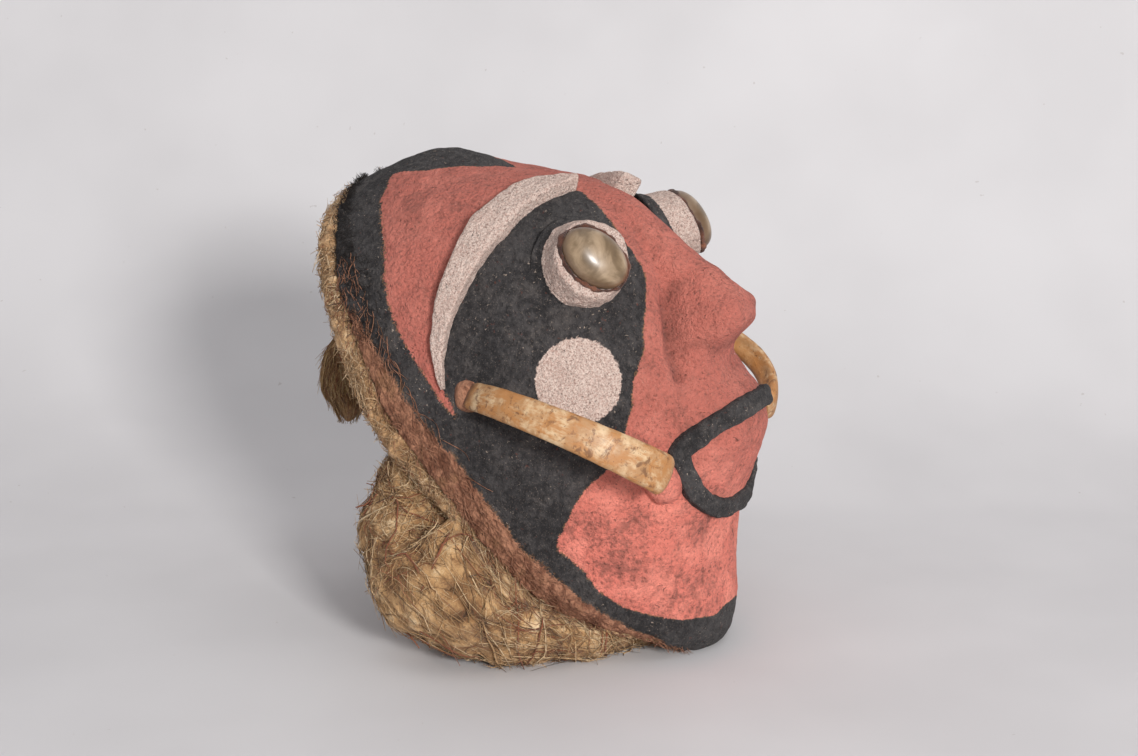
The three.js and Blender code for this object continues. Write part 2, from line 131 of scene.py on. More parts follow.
def angles(count: int) -> Array:
    """Angles all the way round, evenly spread."""
    return np.linspace(0, 2 * math.pi, count, endpoint=False)


def circle(angle: Array, first: Array, other: Array) -> Array:
    """cos(angle) first + sin(angle) other."""
    return np.cos(angle)[..., None] * first + np.sin(angle)[..., None] * other


def per_side(left: float, right: float) -> dict[Side, float]:
    """A dataclass field with a value for each side."""
    return field(default_factory=lambda: {Side.LEFT: left, Side.RIGHT: right})


class Through:
    """A monotone cubic through (at, value) rows, with harmonic-mean tangents."""

    def __init__(self, rows: Rows) -> None:
        p = np.array(sorted(rows), float)
        self.at, self.value = p[:, 0], p[:, 1]
        slope = np.diff(self.value) / np.diff(self.at)
        a, b = slope[:-1], slope[1:]
        mean = np.where(a * b > 0, 2 * a * b / np.where(a + b == 0, 1, a + b), 0)
        self.tangent = np.concatenate([slope[:1], mean, slope[-1:]])

    def __call__(self, at: Array) -> Array:
        """The values at the given places, level outside the rows."""
        at = np.clip(np.asarray(at, float), self.at[0], self.at[-1])
        i = np.clip(np.searchsorted(self.at, at, "right") - 1, 0, len(self.at) - 2)
        step = self.at[i + 1] - self.at[i]
        t = (at - self.at[i]) / step
        rise = 3 * t**2 - 2 * t**3
        return (
            self.value[i] * (1 - rise)
            + self.value[i + 1] * rise
            + step * (self.tangent[i] * (t - 2 * t**2 + t**3) + self.tangent[i + 1] * (t**3 - t**2))
        )


def spline(points: Array, count: int, closed: bool = False) -> Array:
    """A Catmull-Rom line through points.

    Args:
        points: (n, k) points.
        count: how many points to return, evenly spread over the spans.
        closed: whether the line runs back into its first point.
    Returns:
        (count, k) points of the cubic with tangents (next - last) / 2.
    """
    p = np.asarray(points, float)
    n = len(p)
    if closed:
        p = np.concatenate([p[-1:], p, p[:2]])
        u = np.linspace(0, n, count, endpoint=False)
    else:
        p = np.concatenate([2 * p[:1] - p[1:2], p, 2 * p[-1:] - p[-2:-1]])
        u = np.linspace(0, n - 1, count)
    i = np.minimum(u.astype(int), len(p) - 4)
    t = (u - i)[:, None]
    a, b, c, d = p[i], p[i + 1], p[i + 2], p[i + 3]
    return 0.5 * (
        2 * b + (c - a) * t + (2 * a - 5 * b + 4 * c - d) * t**2 + (3 * b - a - 3 * c + d) * t**3
    )


class Lumps:
    """Smooth random lumps in space: values on a seeded lattice, blended between its points."""

    CELLS = 32

    def __init__(self, seed: Seed) -> None:
        self.table = np.random.default_rng(seed.value).uniform(-1, 1, (self.CELLS,) * 3)

    def __call__(self, p: Array, size: float, octaves: int = 1) -> Array:
        """The field at points, from -1 to 1, with lumps of a size in mm and halves of it."""
        total, weight = 0.0, 0.0
        for octave in range(octaves):
            gain = 0.5**octave
            total = total + gain * self.once(p * (2**octave / size) + 7.3 * octave)
            weight += gain
        return total / weight

    def once(self, q: Array) -> Array:
        """One lattice, with smoothstep blending along each axis."""
        base = np.floor(q).astype(int)
        t = q - base
        t = t * t * (3 - 2 * t)
        total = 0.0
        for corner in np.ndindex(2, 2, 2):
            i, j, k = np.moveaxis((base + corner) % self.CELLS, -1, 0)
            share = np.prod(np.where(np.array(corner) == 1, t, 1 - t), -1)
            total = total + share * self.table[i, j, k]
        return total


class Grid:
    """A sheet of points over two parameters, in the mask's frame, with a field or two on it."""

    def __init__(self, points: Array, loop: bool = False, ring: bool = False) -> None:
        """loop closes the columns round, ring closes the rows round."""
        self.points = points
        self.loop, self.ring = loop, ring
        self.fields: dict[str, Array] = {}

    def normals(self) -> Array:
        """Cross product of the differences along the two parameters, outwards on a closed sheet."""
        p = self.points

        def along(axis: int, closed: bool) -> Array:
            if closed:
                return np.roll(p, -1, axis) - np.roll(p, 1, axis)
            return np.gradient(p, axis=axis)

        n = unit(np.cross(along(0, self.ring), along(1, self.loop)))
        return n * self.sense(n)

    def sense(self, n: Array) -> float:
        """1 if the normals point away from the points' middle on the whole, or else -1."""
        away = self.points - self.points.reshape(-1, 3).mean(0)
        return 1.0 if float((n * away).sum()) >= 0 else -1.0

    def moved(self, amount: Array) -> "Grid":
        """The sheet with its points moved outwards by an amount each."""
        self.points = self.points + self.normals() * amount[..., None]
        return self

    def level(self, **values: float) -> "Grid":
        """The sheet with fields that are the same all over it."""
        for name, value in values.items():
            self.fields[name] = np.full(self.points.shape[:2], value)
        return self

    def faces(self) -> Array:
        """The corners of its four-sided faces."""
        rows, columns = self.points.shape[:2]
        ids = np.arange(rows * columns).reshape(rows, columns)
        if self.loop:
            ids = np.concatenate([ids, ids[:, :1]], 1)
        if self.ring:
            ids = np.concatenate([ids, ids[:1]], 0)
        return np.stack([ids[:-1, :-1], ids[1:, :-1], ids[1:, 1:], ids[:-1, 1:]], -1).reshape(-1, 4)


@dataclass
class Piece:
    """A finished piece of the mask: sheets and strands in one mesh."""

    name: str
    slot: Slot
    material: bpy.types.Material
    replaced: tuple[str, ...] = ()
    weld: float = 2e-6
    points: list[Array] = field(default_factory=list)
    faces: list[Array] = field(default_factory=list)
    fields: dict[str, list[Array]] = field(default_factory=dict)

    def count(self) -> int:
        """How many points are gathered."""
        return sum(len(p) for p in self.points)

    def add_fields(self, names: dict[str, Array], size: int) -> None:
        """Keeps a float field for each name, with zeros where a sheet has none."""
        for name in sorted(set(self.fields) | set(names)):
            kept = self.fields.setdefault(name, [np.zeros(self.count() - size)])
            kept.append(np.asarray(names.get(name, np.zeros(size)), float).ravel())

    def add(self, grid: Grid) -> "Piece":
        """Adds a sheet with its fields."""
        return self.add_raw(grid.points.reshape(-1, 3), [grid.faces()], grid.fields)

    def add_raw(self, points: Array, faces: list[Array], fields: dict[str, Array]) -> "Piece":
        """Adds points of the mask's frame with faces of any kind."""
        start = self.count()
        self.points.append(to_row(points))
        self.faces.extend(f + start for f in faces)
        self.add_fields(fields, len(points))
        return self

    def build(self) -> bpy.types.Object:
        """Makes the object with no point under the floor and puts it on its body.

        Returns:
            The object, at the origin.
        """
        points = np.concatenate(self.points)
        points[:, 2] = np.maximum(points[:, 2], 0.0)
        mesh = bpy.data.meshes.new(self.name)
        mesh.vertices.add(len(points))
        mesh.vertices.foreach_set("co", points.astype(np.float32).ravel())
        sizes = np.concatenate([np.full(len(f), f.shape[1]) for f in self.faces])
        corners = np.concatenate([f.ravel() for f in self.faces])
        starts = np.concatenate([[0], np.cumsum(sizes)[:-1]])
        mesh.loops.add(len(corners))
        mesh.loops.foreach_set("vertex_index", corners.astype(np.int32))
        mesh.polygons.add(len(sizes))
        mesh.polygons.foreach_set("loop_start", starts.astype(np.int32))
        mesh.polygons.foreach_set("loop_total", sizes.astype(np.int32))
        for name, values in self.fields.items():
            layer = mesh.attributes.new(name, "FLOAT", "POINT")
            layer.data.foreach_set("value", np.concatenate(values).astype(np.float32))
        mesh.update(calc_edges=True)
        self.welded(mesh)
        mesh.polygons.foreach_set("use_smooth", np.ones(len(mesh.polygons), bool))
        mesh.materials.append(self.material)
        mesh.update()
        made = placed(self.name, mesh)
        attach(made, ROOT)
        if self.replaced:
            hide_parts(*self.replaced)
        triangles = sum(len(p.vertices) - 2 for p in mesh.polygons)
        log.info("%s: %d triangles", self.name, triangles)
        return made

    def welded(self, mesh: bpy.types.Mesh) -> None:
        """Closes poles and seams by merging doubles, and points the faces outwards."""
        shape = bmesh.new()
        shape.from_mesh(mesh)
        if self.weld:
            bmesh.ops.remove_doubles(shape, verts=shape.verts, dist=self.weld)
        if shape.calc_volume(signed=True) < 0:
            bmesh.ops.reverse_faces(shape, faces=shape.faces)
        shape.to_mesh(mesh)
        shape.free()


# Shader maths


class Value:
    """A number in a shader. Python's operators on it add Math nodes."""

    def __init__(self, net: "Net", socket: bpy.types.NodeSocket) -> None:
        self.net, self.socket = net, socket

    def math(self, operation: str, *others: "Value | float") -> "Value":
        """A Math node of this value and others."""
        values = dict(enumerate((self, *others)))
        return self.net.node("ShaderNodeMath", {"operation": operation}, values)

    def flipped(self, operation: str, other: float) -> "Value":
        """A Math node with the other value first."""
        return self.net.node("ShaderNodeMath", {"operation": operation}, {0: other, 1: self})

    def __add__(self, other: "Value | float") -> "Value":
        """Sum."""
        return self.math("ADD", other)

    __radd__ = __add__

    def __sub__(self, other: "Value | float") -> "Value":
        """Difference."""
        return self.math("SUBTRACT", other)

    def __rsub__(self, other: float) -> "Value":
        """Reflected difference."""
        return self.flipped("SUBTRACT", other)

    def __mul__(self, other: "Value | float") -> "Value":
        """Product."""
        return self.math("MULTIPLY", other)

    __rmul__ = __mul__

    def __truediv__(self, other: "Value | float") -> "Value":
        """Quotient."""
        return self.math("DIVIDE", other)

    def __rtruediv__(self, other: float) -> "Value":
        """Reflected quotient."""
        return self.flipped("DIVIDE", other)

    def rising(self, low: float, high: float) -> "Value":
        """0 below low and 1 above high, smooth between them."""
        return self.net.node(
            "ShaderNodeMapRange",
            {"interpolation_type": "SMOOTHSTEP"},
            {"Value": self, "From Min": low, "From Max": high},
        )


Colour = Triple
Stain = tuple[Value, float, float, float, Colour]


def rgb(red: int, green: int, blue: int) -> Colour:
    """A colour given as it shows on a screen, from 0 to 255, as linear light."""
    return tuple(
        c / 12.92 if c <= 0.04045 else ((c + 0.055) / 1.055) ** 2.4
        for c in (red / 255, green / 255, blue / 255)
    )


class Net:
    """The node network of one material."""

    def __init__(self, name: str) -> None:
        self.material = bpy.data.materials.new(name)
        self.material.use_nodes = True
        self.tree = self.material.node_tree
        self.tree.nodes.clear()
        self.place = Value(self, self.raw("ShaderNodeTexCoord").outputs["Object"])

    def raw(self, kind: str, settings: dict | None = None) -> bpy.types.Node:
        """A node with its settings set."""
        made = self.tree.nodes.new(kind)
        for name, value in (settings or {}).items():
            if name == "stops":
                self.set_stops(made.color_ramp, value)
            else:
                setattr(made, name, value)
        return made

    @staticmethod
    def set_stops(ramp: bpy.types.ColorRamp, stops: list[tuple[float, Colour]]) -> None:
        """Gives a ramp its (place, colour) stops."""
        while len(ramp.elements) < len(stops):
            ramp.elements.new(0.5)
        for element, (at, colour) in zip(ramp.elements, stops):
            element.position = at
            element.color = (*colour, 1)

    def node(
        self, kind: str, settings: dict | None = None, inputs: dict | None = None, out: int | str = 0
    ) -> Value:
        """Adds a node, sets it, then fills or links its sockets.

        Args:
            kind: the node's type.
            settings: its properties, or a ramp's stops.
            inputs: socket name or index to a value, a colour or a linked Value.
            out: which output to return.
        Returns:
            That output as a Value.
        """
        made = self.raw(kind, settings)
        for name, value in (inputs or {}).items():
            socket = made.inputs[name]
            if isinstance(value, Value):
                self.tree.links.new(value.socket, socket)
            elif isinstance(value, tuple) and len(value) == 3 and socket.type == "RGBA":
                socket.default_value = (*value, 1)
            else:
                socket.default_value = value
        return Value(self, made.outputs[out])

    def field(self, name: str) -> Value:
        """A float attribute of the mesh."""
        return self.node("ShaderNodeAttribute", {"attribute_name": name}, out="Fac")

    def stretched(self, scale: Colour, turn: Colour = (0, 0, 0)) -> Value:
        """Object coordinates, scaled and turned by a Mapping node."""
        return self.node(
            "ShaderNodeMapping", {}, {"Vector": self.place, "Rotation": turn, "Scale": scale}
        )

    def noise(
        self, size: float, detail: float = 2, rough: float = 0.5, warp: float = 0, at: Value | None = None
    ) -> Value:
        """Noise whose largest grains are of a size in mm, about 0.5 in the middle."""
        inputs = {
            "Vector": at or self.place,
            "Scale": 1000 / size,
            "Detail": detail,
            "Roughness": rough,
            "Distortion": warp,
        }
        return self.node("ShaderNodeTexNoise", {}, inputs, "Fac")

    def specks(self, size: float, at: Value | None = None) -> Value:
        """Distance to the nearest scattered point, as a share of the size in mm."""
        return self.node(
            "ShaderNodeTexVoronoi", {}, {"Vector": at or self.place, "Scale": 1000 / size}, "Distance"
        )

    def mix(self, share: Value | float, low: Value | Colour, high: Value | Colour) -> Value:
        """Colour low where share is 0, high where it is 1."""
        made = self.raw("ShaderNodeMix", {"data_type": "RGBA"})
        for index, value in ((0, share), (6, low), (7, high)):
            if isinstance(value, Value):
                self.tree.links.new(value.socket, made.inputs[index])
            else:
                made.inputs[index].default_value = (*value, 1) if index else value
        return Value(self, made.outputs[2])

    def stained(self, colour: Value, *stains: Stain) -> Value:
        """A colour with stains over it: each from 0 at low to its share at high of its source."""
        for source, low, high, share, tint in stains:
            colour = self.mix(source.rising(low, high) * share, colour, tint)
        return colour

    def ramp(self, share: Value, stops: list[tuple[float, Colour]]) -> Value:
        """A colour that runs through stops."""
        return self.node("ShaderNodeValToRGB", {"stops": stops}, {"Fac": share}, "Color")

    def bump(self, height: Value, depth: float) -> Value:
        """A normal from a height, whose 1 stands depth mm high."""
        return self.node("ShaderNodeBump", {}, {"Strength": 1.0, "Distance": depth / 1000, "Height": height})

    def surface(
        self, colour: Value, rough: Value | float, normal: Value, **more: float
    ) -> bpy.types.Material:
        """Ends the network in one shader.

        Args:
            colour: the base colour.
            rough: the roughness.
            normal: the normal.
            more: constants for sockets, with _ for the spaces in their names.
        Returns:
            The material.
        """
        constants = {name.replace("_", " "): value for name, value in more.items()}
        shader = self.node(
            "ShaderNodeBsdfPrincipled",
            {},
            {"Base Color": colour, "Roughness": rough, "Normal": normal, **constants},
        )
        output = self.raw("ShaderNodeOutputMaterial")
        self.tree.links.new(shader.socket, output.inputs["Surface"])
        return self.material


CORAL = rgb(226, 128, 112)
CORAL_BRIGHT = rgb(246, 148, 130)
CORAL_DUSTY = rgb(166, 98, 86)
CORAL_BROWN = rgb(134, 92, 80)
CORAL_DARK = rgb(104, 60, 50)
CHARCOAL = rgb(72, 69, 69)
CHARCOAL_PALE = rgb(98, 92, 89)
CHARCOAL_DARK = rgb(44, 42, 43)
CHALK = rgb(226, 206, 194)
CHALK_PINK = rgb(188, 156, 144)
CHALK_DARK = rgb(104, 80, 70)
RAW = rgb(184, 132, 104)
RAW_DARK = rgb(128, 84, 64)
TAN = rgb(150, 112, 78)
GRIT = rgb(186, 168, 152)
# soot black: real soot specks and sooty hairs, and painted shade in the face's creases and hollows
SOOT_AND_SHADE = rgb(40, 32, 28)


@dataclass(frozen=True)
class Paint:
    """Matt earth pigment on gritty paste: red, black, white and bare, by the fields of the mesh.

    The fields red, white and bare hold the distance in mm to each paint's border, positive inside. The field
    dark mixes in soot black: the real black of the crown's hairs, and painted shade in the face's creases
    and hollows.
    """

    name: str = "earth_paint"
    edge: float = 1.1

    def build(self) -> bpy.types.Material:
        """The material of all painted pieces."""
        net = Net(self.name)
        wander = ((net.noise(6, 3) - 0.5) * 2.6 + (net.noise(0.9, 2) - 0.5) * 2.2) * self.edge
        red = net.field("red") + wander
        white = net.field("white") + (net.noise(1.3, 3) - 0.5) * 3
        bare = net.field("bare") + wander * 1.6
        grain = net.noise(0.7, 4, 0.7)
        grit = net.noise(1.5, 4, 0.75, 0.3)
        broad = net.noise(26, 3, 0.55)
        fine = net.noise(3.0, 4, 0.65)

        height = net.node("ShaderNodeSeparateXYZ", {}, {0: net.place}, "Z")
        coral = net.stained(
            net.mix((broad + (fine - 0.5) * 0.9).rising(0.24, 0.52), CORAL_DUSTY, CORAL),
            (net.noise(15, 2), 0.46, 0.66, 0.85, CORAL_BRIGHT),
            (net.noise(9, 5, 0.7, 0.5), 0.5, 0.66, 0.42, CORAL_DUSTY),
            # darker, duller red higher up the mask, fading in from 60 to 125 mm above the floor
            (height + (broad - 0.5) * 0.04, 0.06, 0.125, 0.62, CORAL_DUSTY),
            (net.noise(6, 5, 0.75, 0.8), 0.56, 0.7, 0.42, CORAL_BROWN),
            (grit, 0.48, 0.34, 0.42, CORAL_DARK),
            (grain, 0.56, 0.7, 0.25, GRIT),
            (net.noise(2.2, 3, 0.6, 1.2), 0.65, 0.71, 0.7, SOOT_AND_SHADE),
        )
        char = net.stained(
            net.mix((fine * 0.6 + broad * 0.4).rising(0.38, 0.62), CHARCOAL_DARK, CHARCOAL),
            (net.noise(12, 4, 0.6), 0.52, 0.7, 0.4, CHARCOAL_PALE),
            (grain, 0.56, 0.72, 0.3, GRIT),
        )
        dust = net.noise(1.3, 2, 0.6, 0.6).rising(0.66, 0.72) * net.noise(16, 2).rising(0.42, 0.6)
        char = net.mix(dust * 0.8, char, GRIT)
        char = net.stained(char, (net.noise(2.2, 3, 0.6), 0.66, 0.72, 0.6, CORAL_DARK))

        chalk = net.stained(
            net.mix(grain.rising(0.38, 0.58), CHALK_PINK, CHALK),
            (net.noise(0.95, 3, 0.75), 0.54, 0.64, 0.6, CHALK_DARK),
            (net.noise(11, 3), 0.5, 0.75, 0.35, CHALK_PINK),
        )
        threads = net.noise(2.6, 5, 0.7, 0.3, net.stretched((1, 0.3, 0.16), (-0.45, 0, 0)))
        raw = net.mix(threads.rising(0.4, 0.6), RAW_DARK, RAW)
        raw = net.stained(raw, (net.noise(9, 3), 0.55, 0.7, 0.5, TAN))

        colour = net.mix(red.rising(-0.3, 0.3), char, coral)
        between = net.noise(1.2, 3).rising(0.46, 0.6)
        fringe = (red.rising(-1.1, -0.3) * red.rising(0.9, 0.1)) * between
        colour = net.mix(fringe * 0.55, colour, TAN)
        colour = net.mix(bare.rising(-0.8, 0.6), colour, raw)
        rim = (bare.rising(-2.0, -0.8) * bare.rising(0.6, -0.4)) * between
        colour = net.mix(rim * 0.4, colour, TAN)
        colour = net.mix(white.rising(-0.3, 0.4), colour, chalk)
        # dark field: soot black for the crown's real hairs, and painted shade in the face's creases and
        # hollows
        colour = net.mix(net.field("dark").rising(0.0, 1.0) * 0.75, colour, SOOT_AND_SHADE)

        crumbs = grit * 1.2 + net.noise(6, 4, 0.6) * 2.2 + threads * bare.rising(-1, 1) * 0.9
        pits = net.specks(3.4).rising(0.2, 0.05) * net.noise(9, 1).rising(0.45, 0.6)
        normal = net.bump(crumbs - pits * 0.8, 1.3)
        rough = 0.86 + net.noise(8, 2) * 0.12
        return net.surface(colour, rough, normal, Specular_IOR_Level=0.2, Sheen_Weight=0.04)


@dataclass(frozen=True)
class Fibre:
    """Matted plant fibre, by the fields tone, from 0 dark to 1 pale, and rust, for reddish strands."""

    name: str
    dark: Colour
    middle: Colour
    pale: Colour
    straw: Colour
    rust: Colour = rgb(150, 88, 56)
    depth: float = 0.9

    def build(self) -> bpy.types.Material:
        """The material of one sort of fibre."""
        net = Net(self.name)
        strands = net.noise(1.3, 5, 0.7, 1.6)
        broad = net.noise(17, 3)
        tone = net.field("tone") + (strands - 0.5) * 0.9 + (broad - 0.5) * 0.5
        stops = [(0.0, self.dark), (0.36, self.middle), (0.68, self.pale), (1.0, self.straw)]
        colour = net.ramp(tone, stops)
        colour = net.mix((net.field("rust") + (broad - 0.5) * 0.4).rising(0.4, 0.9), colour, self.rust)
        colour = net.mix(net.noise(3.6, 3).rising(0.66, 0.74) * 0.5, colour, self.dark)
        normal = net.bump(strands + net.noise(4, 4, 0.6) * 0.7, self.depth)
        return net.surface(colour, 0.78, normal, Specular_IOR_Level=0.3, Sheen_Weight=0.15)


@dataclass(frozen=True)
class TuskEnamel:
    """Worn cream tusk with ochre and brown stains along it, by the fields along and around."""

    name: str = "worn_tusk"

    def build(self) -> bpy.types.Material:
        """The material of both tusks."""
        net = Net(self.name)
        along, around = net.field("along"), net.field("around")
        lay = net.node(
            "ShaderNodeCombineXYZ", {}, {0: along * 0.0003, 1: around * 0.001, 2: net.field("swing") * 0.001}
        )
        lines = net.noise(1.6, 4, 0.6, 0.3, lay)
        stain = net.noise(11, 4, 0.65, 0.8)
        cream, ivory = rgb(172, 130, 88), rgb(204, 174, 136)
        ochre, brown = rgb(172, 118, 66), rgb(104, 68, 42)
        colour = net.stained(
            net.mix(net.noise(7, 4, 0.6).rising(0.42, 0.62), cream, ivory),
            (stain + (lines - 0.5) * 0.5, 0.4, 0.6, 0.9, ochre),
            (net.noise(5, 5, 0.7, 0.6), 0.53, 0.64, 0.75, brown),
            (net.field("inner"), 0.1, 0.8, 0.6, rgb(216, 150, 84)),
            (net.field("amber"), 0.1, 0.9, 0.6, rgb(190, 128, 66)),
            (net.field("dirt"), 0.2, 0.8, 1.0, rgb(104, 72, 54)),
            (net.noise(1.1, 2), 0.66, 0.72, 0.7, brown),
        )
        normal = net.bump(lines * 0.7 + net.noise(2.5, 4) * 0.7, 0.4)
        rough = 0.4 + stain * 0.3
        return net.surface(colour, rough, normal, Coat_Weight=0.08, Coat_Roughness=0.3)


@dataclass(frozen=True)
class EyeShell:
    """Polished olive shell with curved bands."""

    name: str = "polished_shell"

    def build(self) -> bpy.types.Material:
        """The material of both eye shells."""
        net = Net(self.name)
        bands = net.field("band") * 0.3 + net.noise(14, 4, 0.6, 1.6) * 9.0
        wave = bands.math("SINE") * 0.5 + 0.5
        stops = [
            (0.0, rgb(66, 50, 34)), (0.35, rgb(112, 92, 68)), (0.7, rgb(150, 128, 102)),
            (1.0, rgb(186, 166, 140)),
        ]
        colour = net.ramp(wave * 0.4 + net.noise(7, 4, 0.6) * 0.62, stops)
        colour = net.stained(colour, (net.field("edge"), 0.78, 1.0, 0.7, rgb(96, 70, 48)))
        normal = net.bump(net.noise(7, 2), 0.15)
        return net.surface(colour, 0.38, normal, Coat_Weight=0.3, Coat_Roughness=0.2)


# The mask's face


@dataclass
class Face:
    """The paste face: half-ellipse sections between a midline and a back edge, over turn and swing."""

    height: float = 258.0
    half_width: float = 80.0
    taper: float = 0.12
    wall: float = 6.0
    gap: float = 0.3
    muzzle_breadth: float = 0.168
    middle_rows: Rows = (
        (1, -0.186), (0.988, -0.062), (0.922, 0.034), (0.864, 0.108), (0.795, 0.192), (0.705, 0.244),
        (0.601, 0.26), (0.484, 0.256), (0.388, 0.237), (0.31, 0.214), (0.24, 0.173), (0.174, 0.131),
        (0.085, 0.082), (0.023, 0.046), (0, 0.004),
    )
    back_rows: Rows = (
        (1, -0.186), (0.93, -0.194), (0.775, -0.186), (0.62, -0.182), (0.465, -0.159), (0.31, -0.143),
        (0.194, -0.12), (0.116, -0.07), (0.058, -0.027), (0, 0.004),
    )
    ridge_rows: Rows = (
        (0.84, 0), (0.795, 0.012), (0.705, 0.02), (0.6, 0.05), (0.56, 0.073), (0.5, 0.09), (0.475, 0.086),
        (0.455, 0.06), (0.44, 0.03), (0.41, 0.012), (0.38, 0),
    )
    breadth_rows: Rows = (
        (0.84, 0.035), (0.7, 0.045), (0.6, 0.058), (0.55, 0.07), (0.5, 0.092), (0.46, 0.1),
    )
    muzzle_rows: Rows = (
        (0.49, 0), (0.445, 0.016), (0.388, 0.024), (0.31, 0.029), (0.26, 0.018), (0.21, 0.004), (0.175, 0),
    )
    pout_breadth: float = 0.15
    pout_rows: Rows = (
        (0.44, 0), (0.395, 0.013), (0.36, 0.029), (0.31, 0.031), (0.27, 0.022), (0.23, 0.008), (0.2, 0),
    )

    def __post_init__(self) -> None:
        """Turns the rows into smooth lines."""
        over = lambda rows: Through(tuple((float(self.turn(s)), v * self.height) for s, v in rows))
        self.middle, self.back = over(self.middle_rows), over(self.back_rows)
        self.ridge, self.breadth = Through(self.ridge_rows), Through(self.breadth_rows)
        self.muzzle, self.pout = Through(self.muzzle_rows), Through(self.pout_rows)

    def turn(self, share: Array) -> Array:
        """The turn from the crown at a share of the height."""
        return np.arccos(np.clip(2 * np.asarray(share, float) - 1, -1, 1))

    def width(self, turn: Array) -> Array:
        """Half the breadth at a turn."""
        return self.half_width * np.sin(turn) * (1 + self.taper * np.cos(turn))

    def point(self, turn: Array, swing: Array) -> Array:
        """x = width sin(swing); y = -(back + (middle - back) cos(swing)); z = height (1 + cos(turn)) / 2."""
        turn, swing = np.broadcast_arrays(np.asarray(turn, float), np.asarray(swing, float))
        forwards = self.back(turn) + (self.middle(turn) - self.back(turn)) * np.cos(swing)
        return np.stack(
            [self.width(turn) * np.sin(swing), -forwards, self.height / 2 * (1 + np.cos(turn))], -1
        )

    def normal(self, turn: Array, swing: Array) -> Array:
        """The smooth face's outward normal, from differences."""
        turn, swing = np.broadcast_arrays(np.asarray(turn, float), np.asarray(swing, float))
        turn = np.clip(turn, 0.004, math.pi - 0.004)
        e = 1e-3
        down = self.point(turn + e, swing) - self.point(turn - e, swing)
        across = self.point(turn, swing + e) - self.point(turn, swing - e)
        return unit(np.cross(down, across))

    def rise(self, x: Array, share: Array) -> Array:
        """How far nose and muzzle lift the face forwards."""
        dome = lambda breadth: np.clip(1 - (x / (breadth * self.height)) ** 2, 0, None)
        nose = self.ridge(share) * dome(self.breadth(share)) ** 0.8
        muzzle = self.muzzle(share) * np.sqrt(dome(self.muzzle_breadth))
        soft = 0.004
        blend = 0.35 * soft * np.exp(-np.abs(nose - muzzle) / soft) * (np.minimum(nose, muzzle) > 0)
        return self.height * (np.maximum(nose, muzzle) + blend + self.pout(share) * dome(self.pout_breadth))

    def carved(self, turn: Array, swing: Array) -> Array:
        """The face's point with nose and muzzle."""
        p = self.point(turn, swing)
        p[..., 1] -= self.rise(p[..., 0], p[..., 2] / self.height)
        return p

    def under(self, turn: Array, swing: Array, depth: float) -> Array:
        """A point at a depth under the smooth face."""
        return self.point(turn, swing) - depth * self.normal(turn, swing)

    def at(self, x: Array, z: Array) -> tuple[Array, Array]:
        """The turn and swing of the face's point at (x, z)."""
        turn = self.turn(np.asarray(z) / self.height)
        return turn, np.arcsin(np.clip(x / np.maximum(self.width(turn), 1e-9), -1, 1))


FACE = Face()
ROUGH = Lumps(Seed.PASTE)


